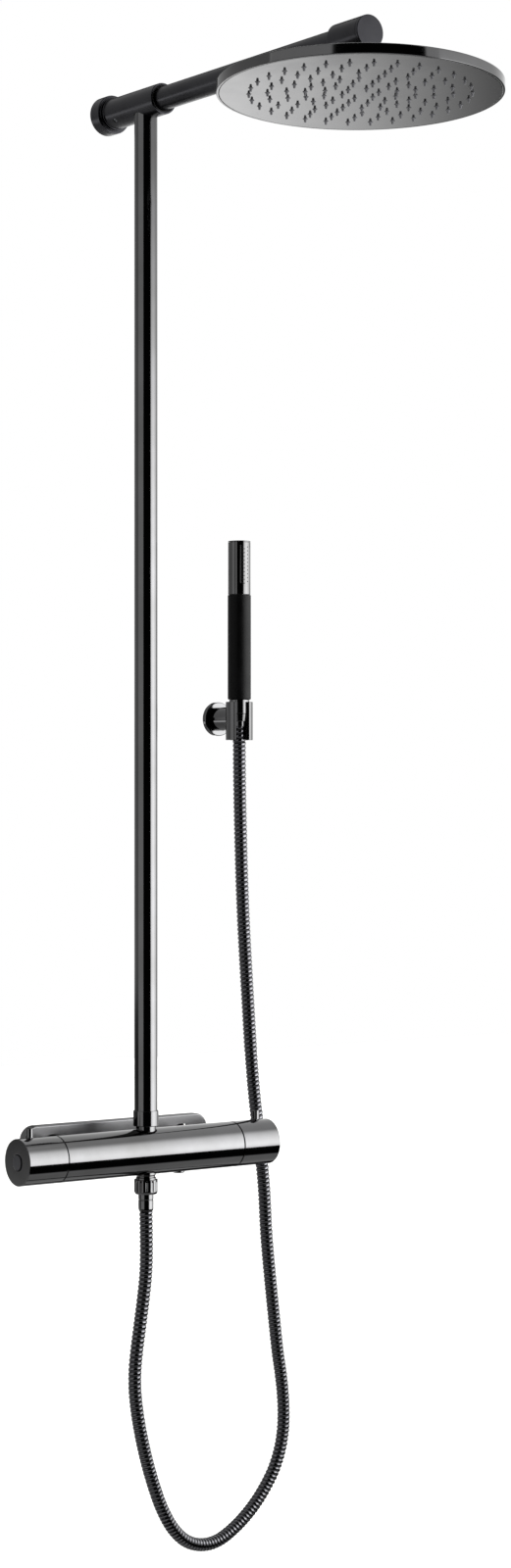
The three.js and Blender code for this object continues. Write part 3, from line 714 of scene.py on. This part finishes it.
def spray_holes():
    """Drills staggered columns of jet holes through a tube's wall, fanned about one side."""
    tree, size = new_tree("spray_holes", {
        "Axis": "NodeSocketVector", "Top": "NodeSocketFloat", "Pitch": "NodeSocketFloat",
        "Rows": "NodeSocketInt", "Columns": "NodeSocketInt", "Fan": "NodeSocketFloat",
        "First": "NodeSocketFloat", "Radius": "NodeSocketFloat", "Hole Radius": "NodeSocketFloat"})
    count = add_node(tree, "ShaderNodeMath", {"operation": "MULTIPLY"}, {
        0: size["Rows"], 1: size["Columns"]})
    spots = add_node(tree, "GeometryNodePoints", {}, {"Count": count.outputs[0]})
    index = add_node(tree, "GeometryNodeInputIndex")
    share = add_node(tree, "ShaderNodeMath", {"operation": "DIVIDE"}, {
        0: index.outputs[0], 1: size["Rows"]})
    column = add_node(tree, "ShaderNodeMath", {"operation": "FLOOR"}, {0: share.outputs[0]})
    row = add_node(tree, "ShaderNodeMath", {"operation": "MODULO"}, {
        0: index.outputs[0], 1: size["Rows"]})
    odd = add_node(tree, "ShaderNodeMath", {"operation": "MODULO"}, {0: column.outputs[0], 1: 2.0})
    stagger = add_node(tree, "ShaderNodeMath", {"operation": "MULTIPLY_ADD"}, {
        0: odd.outputs[0], 1: 0.5, 2: row.outputs[0]})
    fall = add_node(tree, "ShaderNodeMath", {"operation": "MULTIPLY"}, {
        0: stagger.outputs[0], 1: size["Pitch"]})
    height = add_node(tree, "ShaderNodeMath", {"operation": "SUBTRACT"}, {
        0: size["Top"], 1: fall.outputs[0]})
    angle = add_node(tree, "ShaderNodeMath", {"operation": "MULTIPLY_ADD"}, {
        0: column.outputs[0], 1: size["Fan"], 2: size["First"]})
    cosine = add_node(tree, "ShaderNodeMath", {"operation": "COSINE"}, {0: angle.outputs[0]})
    sine = add_node(tree, "ShaderNodeMath", {"operation": "SINE"}, {0: angle.outputs[0]})
    away = add_node(tree, "ShaderNodeCombineXYZ", {}, {
        "X": cosine.outputs[0], "Y": sine.outputs[0]})
    lift = add_node(tree, "ShaderNodeCombineXYZ", {}, {"Z": height.outputs[0]})
    rim = add_node(tree, "ShaderNodeVectorMath", {"operation": "SCALE"}, {
        0: away.outputs[0], "Scale": size["Radius"]})
    spot = add_node(tree, "ShaderNodeVectorMath", {"operation": "ADD"}, {
        0: rim.outputs[0], 1: lift.outputs[0]})
    on_axis = add_node(tree, "ShaderNodeVectorMath", {"operation": "ADD"}, {
        0: spot.outputs[0], 1: size["Axis"]})
    set_out = add_node(tree, "GeometryNodeSetPosition", {}, {
        "Geometry": spots.outputs[0], "Position": on_axis.outputs[0]})
    aim = add_node(tree, "FunctionNodeAlignRotationToVector", {"axis": "Z"}, {
        "Vector": away.outputs[0]})
    drill = add_node(tree, "GeometryNodeMeshCylinder", {}, {
        "Vertices": 12, "Radius": size["Hole Radius"], "Depth": 2 * MM})
    drills = add_node(tree, "GeometryNodeInstanceOnPoints", {}, {
        "Points": set_out.outputs[0], "Instance": drill.outputs["Mesh"],
        "Rotation": aim.outputs[0]})
    drill_away(tree, size["Geometry"], drills)
    return tree


# ---- hose -------------------------------------------------------------------------------

def smooth_route(points, step=0.003):
    """A centripetal spline through the route's points, in metres, sampled about every step."""
    p = [Vector(q) * MM for q in points]
    p = [2 * p[0] - p[1], *p, 2 * p[-1] - p[-2]]
    route = []
    for a, b, c, d in zip(p, p[1:], p[2:], p[3:]):
        t = [0.0]
        for u, v in ((a, b), (b, c), (c, d)):
            t.append(t[-1] + math.sqrt((v - u).length))
        count = max(2, round((c - b).length / step))
        for k in range(count):
            s = t[1] + (t[2] - t[1]) * k / count
            ab = a.lerp(b, (s - t[0]) / (t[1] - t[0]))
            bc = b.lerp(c, (s - t[1]) / (t[2] - t[1]))
            cd = c.lerp(d, (s - t[2]) / (t[3] - t[2]))
            route.append(ab.lerp(bc, (s - t[0]) / (t[2] - t[0])).lerp(
                bc.lerp(cd, (s - t[1]) / (t[3] - t[1])), (s - t[1]) / (t[2] - t[1])))
    route.append(p[-2])
    return route


def make_hose():
    """The spiral-wound hose, swept along its route; the route and its length come back with it."""
    route = smooth_route(HOSE_ROUTE)
    line = bpy.data.meshes.new("route")
    line.from_pydata([tuple(q) for q in route], [(i, i + 1) for i in range(len(route) - 1)], [])
    mesh = grown(strip_winding(), line, {
        "Radius": HOSE_R * MM, "Groove": 1.15 * MM, "Pitch": 4.33 * MM, "Step": 0.6 * MM,
        "Sides": 24})
    hose = place_piece("wound_hose", mesh, None, "hose_metal", "hose", sharp=70)
    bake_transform(hose)
    length = sum((b - a).length for a, b in zip(route, route[1:]))
    return hose, route, length


def make_lower_connection():
    """Spigot under the mixer, the fluted nut, and the ferrule that holds the hose."""
    tube_end = turned([(6.5, -34), (9.6, -34), (9.6, -24.6), (8.9, -24), (8.9, -22.6), (9.6, -22),
                       (9.6, -13.8), (6.5, -13.8)], ON_MIXER)
    place_piece("hose_outlet", tube_end, "column", "black_chrome", "hose_spigot")
    blank = turned([(9.95, -26.4), (11.3, -26.4, 0.5), (11.3, -27.6, 0.1), (11.3, -29, 0.1),
                    (11.3, -37, 0.1), (11.3, -38.2, 0.3), (10.2, -40.2, 0.4), (7.8, -40.2),
                    (7.8, -38.8), (9.95, -38.8)], sides=144)
    nut = grown(fluting(), blank, {
        "Flutes": 12, "Depth": 0.55 * MM, "Low": -37.9 * MM, "High": -27.4 * MM,
        "Radius": 10.8 * MM})
    nut.transform(ON_MIXER)
    nut_piece = place_piece("fluted_hose_nut", nut, "column", "black_chrome", "hose_nut_lower")
    ferrule = turned([(5, -56), (6.9, -56, 0.4), (7.3, -54.6, 0.3), (7.3, -46.5), (7.05, -46.2),
                      (7.05, -45.4), (7.3, -45.1), (7.3, -38.4), (9.3, -38.4), (9.3, -36.7),
                      (5, -36.7)], ON_MIXER, sides=64)
    ferrule_piece = place_piece(
        "hose_ferrule_foot", ferrule, "column", "black_chrome", "hose_ferrule_lower")
    return [nut_piece, ferrule_piece]


def make_upper_connection():
    """Ferrule and cone nut on the hose's upper end."""
    ferrule = tube(7.2, 5, 407.7, 416, AT_HANDSET, edge=0.4, sides=64)
    ferrule_piece = place_piece(
        "hose_ferrule_top", ferrule, "hose_end", "black_chrome", "hose_ferrule_upper")
    nut = turned([(7.6, 412.6), (8.8, 412.6, 0.5), (9.8, 419.4, 0.3), (9.8, 420.1), (5, 420.1),
                  (5, 418.5), (7.6, 418.5)], AT_HANDSET)
    nut_piece = place_piece("cone_nut", nut, "hose_end", "black_chrome", "hose_cone_nut")
    return [ferrule_piece, nut_piece]


# ---- mixer ------------------------------------------------------------------------------

def make_wall_fixing():
    """Cover plate on the wall, the two inlets with their hexagon nuts."""
    lip, face, wall = 11, 21, 2
    plate, skirt = (213, 52.6, 14), (193, 44, 10)       # width, height and corner radius
    levels = [(0.6, lip), (0, lip + 0.6), (0, face - 1.6), (0.35, face - 0.8),
              (0.9, face - 0.25), (1.6, face)]
    shell = rounded_slab(*plate, levels, OUTWARD)
    foot = rounded_slab(*skirt, [(0, 0), (0, lip + 1)], OUTWARD)
    tray, back = ((w - 2 * wall, h - 2 * wall, corner - wall) for w, h, corner in (plate, skirt))
    hollows = [rounded_slab(*tray, [(0, lip + wall), (0, face - wall)], OUTWARD),
               rounded_slab(*back, [(0, -1), (0, lip + 3)], OUTWARD)]
    holes = [rod(17.5, 15, 25, at(x) @ OUTWARD) for x in (-INLET_X, INLET_X)]
    cover = carved(shell, join=[foot], cut=[*hollows, *holes])
    place_piece("cover_plate", cover, "column", "black_chrome", "wall_plate",
                look="pressed_chrome")
    for side, x in (("left", -INLET_X), ("right", INLET_X)):
        spot = at(x) @ OUTWARD
        connector = turned([(8, 0), (11, 0), (11, 15), (14, 15), (14, 20.5), (11, 20.5), (11, 29.5),
                            (12.6, 29.5), (12.6, 32), (8, 32)], spot, sides=64)
        place_piece(f"inlet_tail_{side}", connector, "column", "brass", f"inlet_connector_{side}")
        prism = turned([(0, 24.5), (17.6, 24.5), (17.6, 42), (0, 42)], spot, edge=0, sides=6)
        bevel = turned([(0, 24.5), (15.4, 24.5), (17.7, 26), (17.7, 40.5), (15.4, 42), (0, 42)],
                       spot, edge=0.2)
        nut = carved(prism, cut=[rod(11.5, 20, 30, spot), rod(13, 28.9, 45, spot)], common=[bevel])
        place_piece(f"hexagon_nut_{side}", nut, "column", "black_chrome", f"inlet_nut_{side}",
                    sharp=25)
        screw = turned([(0, 0), (2.5, 0), (2.5, 3.3), (4.8, 3.3), (4.8, 4.8, 0.6), (3.2, 6.4, 0.6),
                        (0, 6.4)], at(math.copysign(30, x)) @ OUTWARD, edge=0.15, sides=32)
        place_piece(f"plate_screw_{side}", screw, "column", "steel", f"bracket_screw_{side}")


def make_barrel():
    """The mixer's barrel with its sockets for the riser, the hose and the inlets."""
    end = SEAM - GAP
    lie = ON_MIXER @ TO_RIGHT
    stops = [-INLET_X - 16, -INLET_X + 16, -14, 14, 30, 46, INLET_X - 16, INLET_X + 16]
    step, neck = 0.7, MIXER_R - 0.9     # the turned-down edge that makes the seam read dark
    shell = turned([(0, -end), (neck, -end), (neck, step - end), (MIXER_R, step - end, 0.2),
                    *((MIXER_R, x) for x in stops), (MIXER_R, end - step, 0.2),
                    (neck, end - step), (neck, end), (0, end)], lie, edge=0.1, sides=160)
    spigots = [rod(12.6, 34.6, MIXER_OUT - 12, at(x) @ OUTWARD, sides=96)
               for x in (-INLET_X, INLET_X)]
    tools = [rod(18, -end - 1, -40, lie), rod(18, 40, end + 1, lie), rod(6, -45, 45, lie)]
    tools += [rod(8, 30, MIXER_OUT, at(x) @ OUTWARD) for x in (-INLET_X, INLET_X)]
    tools += [rod(9.9, 13.5, 30, ON_MIXER), rod(9.9, -30, -13.5, ON_MIXER),
              rod(6.5, -14, 14, ON_MIXER), rod(6.6, -30, -14, at(38, -MIXER_OUT))]
    place_piece("mixer_barrel", carved(shell, join=spigots, cut=tools), "column", "black_chrome",
                "mixer_body", sharp=30)
    plug = turned([(0, -23.4), (3.2, -23.3), (5.2, -22.9), (6.2, -22.2), (6.2, -16), (0, -16)],
                  at(38, -MIXER_OUT), edge=0.3, sides=48)
    place_piece("drain_plug", plug, "column", "black_chrome", "service_plug")


def make_handles():
    """Temperature handle with its safety button on the left, flow handle on the right."""
    low = SEAM + GAP
    skirt = [(19.5, low), (MIXER_R, low, 0.2), (MIXER_R, MIXER_END, 0.5)]
    hub = [(0, 128.3), (5.3, 128.3), (5.3, 112), (9.2, 112), (9.2, 141.5), (19.5, 141.5)]
    left_axis, right_axis = ON_MIXER @ TO_LEFT, ON_MIXER @ TO_RIGHT
    left = turned([*skirt, (8.1, MIXER_END, 0.5), (7.7, MIXER_END - 0.6), (7.7, 134.3), (0, 134.3),
                   *hub], left_axis, sides=160)
    right = turned([*skirt, (0, MIXER_END), *hub], right_axis, sides=160)
    for name, shape, x, body, node in (
            ("temperature_knob", left, -PIN_X, "temperature_control", "temperature_handle"),
            ("flow_knob", right, PIN_X, "flow_control", "flow_handle")):
        drilled = carved(shape, cut=[rod(2.3, 15, 30, at(x, -MIXER_OUT), sides=32)])
        place_piece(name, drilled, body, "black_chrome", node, sharp=30)
        pin = turned([(0, 17), (2, 17), (2, 22.3), (3, 22.3), (3, 31, 0.7), (0, 31)],
                     at(x, -MIXER_OUT), edge=0.15, sides=48)
        place_piece(node.replace("handle", "lever"), pin, body, "black_chrome",
                    node.replace("handle", "pin"))
    button = turned([(0, 145.3), (7.3, 145.3, 0.6), (7.3, 139.5), (5.9, 139.5), (5.9, 142.8),
                     (0, 142.8)], left_axis)
    place_piece("override_button", button, "button", "black_satin", "safety_button")
    coil = place_piece("button_coil", coil_spring(4.6, 0.45, 135.2, 141.9, 4, left_axis),
                       "temperature_control", "steel", "button_spring")
    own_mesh(coil)


# ---- riser and overhead arm -------------------------------------------------------------

def make_riser():
    """Riser tube, its union nut and the spigot that it stands on."""
    spigot = tube(9.6, 7, 13.8, 32.9, ON_MIXER)
    place_piece("riser_socket", spigot, "column", "black_chrome", "riser_spigot")
    nut = turned([(9.95, 24.6), (12.1, 24.6, 0.7), (12.1, 39.3, 0.8), (11.35, 39.3), (11.35, 33.2),
                  (9.95, 33.2)], ON_MIXER)
    place_piece("union_nut", nut, "column", "black_chrome", "riser_nut")
    pipe = turned([(TUBE_R - TUBE_WALL, 35.7), (TUBE_R, 35.7),
                   *((TUBE_R, z) for z in range(80, 990, 45)), (TUBE_R, 990),
                   (TUBE_R - TUBE_WALL, 990)], ON_MIXER)
    place_piece("riser_tube", pipe, "column", "black_chrome", "riser_pipe")


def make_arm():
    """Wall bracket under its flange, the tee over the riser, the arm and its end block."""
    bracket = turned([(2.9, 0), (16.4, 0), (16.4, 3), (10, 3), (10, 40), (6, 40), (6, 6), (2.9, 6)],
                     ON_ARM)
    place_piece("bracket_socket", bracket, "column", "steel", "wall_bracket")
    flange = turned([(17, 0), (18.5, 0), (18.5, 13.9, 0.9), (16.4, 13.9), (16.4, 15.4, 0.4),
                     (15.05, 15.4), (15.05, 11.5), (17, 11.5)], ON_ARM, sides=128)
    place_piece("wall_rose", flange, "column", "black_satin", "wall_flange")

    tee = turned([(0, 4), (TEE_R, 4), (TEE_R, 16.8, 0.1), (15.6, 16.8, 0.4), (15.6, 18.2, 0.4),
                  (TEE_R, 18.6), (TEE_R, 26), (TEE_R, 36), (TEE_R, 54), (TEE_R, 82),
                  (TEE_R, TEE_FRONT, 0.8), (0, TEE_FRONT)], ON_ARM, sides=160)
    grub_axis = at(0, -31, ARM_Z) @ Matrix.Rotation(-0.75 * math.pi, 4, "Y")
    bores = [rod(10.4, -1, 44, ON_ARM), rod(9, 50, 82, ON_ARM), rod(TUBE_R + 0.35, 80, 110, ON_ARM),
             rod(12.9, TEE_FRONT - 3, 110, ON_ARM),
             rod(TUBE_R + 0.35, 970, 990.4, ON_MIXER), rod(9, 985, ARM_Z, ON_MIXER),
             rod(2.3, 8, 20, grub_axis, sides=32)]
    place_piece("tee_barrel", carved(tee, cut=bores), "column", "black_satin", "tee_body", sharp=30)
    grub = carved(rod(2, 10.35, 14, grub_axis, sides=32), cut=[rod(1, 12, 15, grub_axis, sides=6)])
    place_piece("tee_set_screw", grub, "column", "steel", "tee_grub_screw", sharp=30)
    seal = tube(12.6, 11.3, TEE_FRONT - 2.7, TEE_FRONT - 0.8, ON_ARM, edge=0.5)
    place_piece("arm_gasket", seal, "column", "rubber", "arm_seal")
    arm = turned([(TUBE_R - TUBE_WALL, 82.4), (TUBE_R, 82.4),
                  *((TUBE_R, y) for y in range(110, 340, 30)), (TUBE_R, BLOCK_REAR + 9.6),
                  (TUBE_R - TUBE_WALL, BLOCK_REAR + 9.6)], ON_ARM, sides=128)
    place_piece("overhead_arm", arm, "column", "black_satin", "arm_tube")

    front = ARM_END - 3.2
    block = turned([(0, BLOCK_REAR), (TEE_R, BLOCK_REAR, 0.8), (TEE_R, BLOCK_REAR + 12),
                    (TEE_R, HEAD_OUT - 10), (TEE_R, front, 0.15), (0, front)], ON_ARM, sides=160)
    holes = [rod(TUBE_R + 0.35, BLOCK_REAR - 5, BLOCK_REAR + 10, ON_ARM),
             rod(7, BLOCK_REAR, HEAD_OUT, ON_ARM), rod(5.8, front - 4, front + 5, ON_ARM),
             rod(4, ARM_Z - 10, ARM_Z, ON_HEAD), rod(8.3, 970, 993.3, ON_HEAD)]
    place_piece("end_block", carved(block, cut=holes), "column", "black_satin", "arm_end_block",
                sharp=30)
    cap = turned([(0, ARM_END - 6.9), (5.5, ARM_END - 6.9), (5.5, ARM_END - 2.9),
                  (TEE_R, ARM_END - 2.9, 0.15), (TEE_R, ARM_END, 0.8), (0, ARM_END)], ON_ARM,
                 sides=160)
    place_piece("end_cap", cap, "column", "black_satin", "arm_end_cap")


def ball_arc(r, start, end, steps):
    """Outline points on the ball's circle between two angles in degrees."""
    angles = [math.radians(start + (end - start) * i / steps) for i in range(steps + 1)]
    return [(r * math.cos(a), BALL_Z + r * math.sin(a)) for a in angles]


def make_rain_head():
    """Ball joint, thin round head, its drilled spray face and the mat with its nozzles."""
    stem = turned([*ball_arc(10, -66.4, 49.5, 14), (6.5, 981.8), (10, 981.8), (10, 984), (8, 984),
                   (8, 993), (4, 993)], ON_HEAD, edge=0.2)
    place_piece("ball_stem_turned", stem, "column", "black_chrome", "ball_stem")
    seal = turned([(6 + math.cos(i * math.pi / 8), 960.85 + math.sin(i * math.pi / 8))
                   for i in range(16)], ON_HEAD, edge=0)
    place_piece("ball_gasket", seal, "ball_ring", "rubber", "ball_seal")
    nut = turned([(12.3, 959.6), (14, 959.6), (14, 975.9, 0.6), (13.4, 976.5),
                  *ball_arc(10.4, 35.2, -6.6, 8), (12.3, 969.3)], ON_HEAD, edge=0.3)
    place_piece("ball_cap_nut", leaning(nut), "rain_head", "black_chrome", "ball_nut")

    top = HEAD_Z + 9
    shell = turned([(122.8, HEAD_Z), (HEAD_R, HEAD_Z, 0.7), (HEAD_R, top, 1.2), (60, top),
                    (12, top, 0.3), (12, 968.6), (10.7, 968.6), (10.7, 958.4), (4.5, 958.4),
                    (4.5, top - 1.5), (122.8, top - 1.5)], ON_HEAD, sides=256)
    place_piece("head_dish", leaning(shell), "rain_head", "black_chrome", "head_shell")
    plate = turned([(0, HEAD_Z), (122.4, HEAD_Z, 0.3), (122.4, HEAD_Z + 1.2), (0, HEAD_Z + 1.2)],
                   ON_HEAD, edge=0.2, sides=256)
    centre = (0, -HEAD_OUT * MM, (HEAD_Z + 0.6) * MM)
    face = grown(nozzle_holes(), joined_flats(plate), {"Centre": centre, "Hole Radius": 2.35 * MM})
    place_piece("spray_face", leaning(face), "rain_head", "black_chrome", "head_face_plate")
    mat = turned([(0, HEAD_Z + 1.5), (117, HEAD_Z + 1.5), (117, HEAD_Z + 3), (0, HEAD_Z + 3)],
                 ON_HEAD, sides=96)
    field = grown(nozzle_field(), mat, {
        "Centre": (0, -HEAD_OUT * MM, (HEAD_Z + 2.2) * MM), "Collar Radius": 2.15 * MM,
        "Tip Radius": 0.9 * MM, "Tip Length": 3.1 * MM})
    place_piece("nozzle_mat_moulded", leaning(field), "rain_head", "silicone", "nozzle_mat")


# ---- handset and holder -----------------------------------------------------------------

def make_handset():
    """Slim handset: drilled metal head, cap, soft grip and the bare metal neck under it."""
    head = turned([(9.6, 541.5), (8.3, 541.5), (8.3, 537.9), (HANDSET_R, 537.9, 0.4),
                   (HANDSET_R, 548), (HANDSET_R, 587), (HANDSET_R, 589.4), (9.6, 589.4)],
                  AT_HANDSET, edge=0.12)
    drilled = grown(spray_holes(), head, {
        "Axis": (SHOWER_X * MM, -SHOWER_OUT * MM, 0), "Top": 584.6 * MM, "Pitch": 3.78 * MM,
        "Rows": 10, "Columns": 4, "Fan": math.radians(20.6),
        "First": math.radians(270 - 1.5 * 20.6), "Radius": 10.4 * MM,
        "Hole Radius": 0.62 * MM})
    place_piece("spray_barrel", drilled, "handset", "black_chrome", "handset_head", sharp=30)
    cap = turned([(0, 586.5), (9.3, 586.5), (9.3, 589.7), (HANDSET_R, 589.7),
                  (HANDSET_R, 590.9, 0.4), (0, 590.9)], AT_HANDSET, edge=0.12)
    place_piece("barrel_cap", cap, "handset", "black_chrome", "handset_cap")
    core = turned([(6, 420.4), (10, 420.4), (10, 426), (10, 434), (8, 434), (8, 541), (6, 541)],
                  AT_HANDSET, edge=0.25)
    place_piece("handset_stem", core, "handset", "black_chrome", "handset_core")
    grip = turned([(8.3, 434.3), (11.45, 434.3, 1.4), (11.45, 537.6, 0.7), (8.3, 537.6)], AT_HANDSET)
    place_piece("soft_grip", grip, "handset", "grip", "handset_grip")


def make_holder():
    """Thin rose, bar and slotted clip that carry the handset."""
    rose = turned([(6.4, 0), (16.8, 0), (16.8, 5, 1.1), (6.4, 5)], AT_HOLDER, sides=128)
    place_piece("holder_rose", rose, "column", "black_chrome", "holder_flange")
    bar = rod(11.7, SHOWER_OUT - 33.4, SHOWER_OUT - 6, AT_HOLDER, sides=128)
    clip = turned([(0, 394.2), (13.4, 394.2, 0.5), (13.4, 432, 0.5), (0, 432)], AT_HANDSET,
                  sides=128)
    seat = turned([(0, 393.2), (8.95, 393.2), (9.25, 412.4), (10.5, 420), (10.85, 433), (0, 433)],
                  AT_HANDSET, edge=0)
    gate = rounded_slab(13.6, 30, 0.8, [(0, 383), (0, 443)],
                        AT_HANDSET @ Matrix.Rotation(math.radians(-19.6), 4, "Z") @ at(0, -15))
    stud = rod(6.4, 0, 22, AT_HOLDER)
    axis = at(SHOWER_X, -13)
    grub = rod(2.3, HOLDER_Z - 15, HOLDER_Z - 3, axis, sides=32)
    body = carved(bar, join=[clip], cut=[seat, gate, stud, grub])
    place_piece("holder_clip", body, "column", "black_chrome", "holder_body", sharp=30)
    screw = carved(rod(2, HOLDER_Z - 11.2, HOLDER_Z - 6.35, axis, sides=32),
                   cut=[rod(1, HOLDER_Z - 12, HOLDER_Z - 9.4, axis, sides=6)])
    place_piece("holder_set_screw", screw, "column", "steel", "holder_grub_screw", sharp=30)


# Parts of the frame that stay as they are, hidden inside the fittings, and their finish.
INNER_PARTS = {
    "steel": ["mounting_bracket", "wall_bracket_screw", "holder_stud"],
    "brass": ["thermostat_cartridge", "diverter_cartridge"],
    "nylon": ["temperature_stop_ring", "flow_stop_ring", "check_valve_left", "check_valve_right"],
    "rubber": ["inlet_gasket_left", "inlet_gasket_right", "riser_seal", "hose_gasket_lower",
               "hose_gasket_upper"],
    "silicone": ["spray_sleeve"],
}


def dress_inner_parts():
    """Gives each hidden part the finish of what it is made of."""
    for finish, names in INNER_PARTS.items():
        for name in names:
            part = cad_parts[name]
            if not part.material_slots:
                part.data.materials.append(FINISHES[finish])
            for slot in part.material_slots:
                slot.material = FINISHES[finish]


def lay_floor():
    """A plain pale floor a good way under the column, left out of its reflections."""
    bm = bmesh.new()
    bmesh.ops.create_grid(bm, x_segments=2, y_segments=2, size=9000)
    floor = linked("floor", to_mesh(bm, at(z=-900)))
    floor.data.materials.append(surface(
        "painted_floor", ("#e9e9e7", "#efefed"), (0.8, 0.9), 400, 6, 0.02))
    floor.visible_glossy = False


FINISHES = make_finishes()
set_camera()
hose, route, hose_length = make_hose()
hang_light_cards()
hang_softbox()
hang_top_light()
lay_floor()
on_hose = make_lower_connection() + make_upper_connection()
make_wall_fixing()
make_barrel()
make_handles()
make_riser()
make_arm()
make_rain_head()
make_handset()
make_holder()
dress_inner_parts()
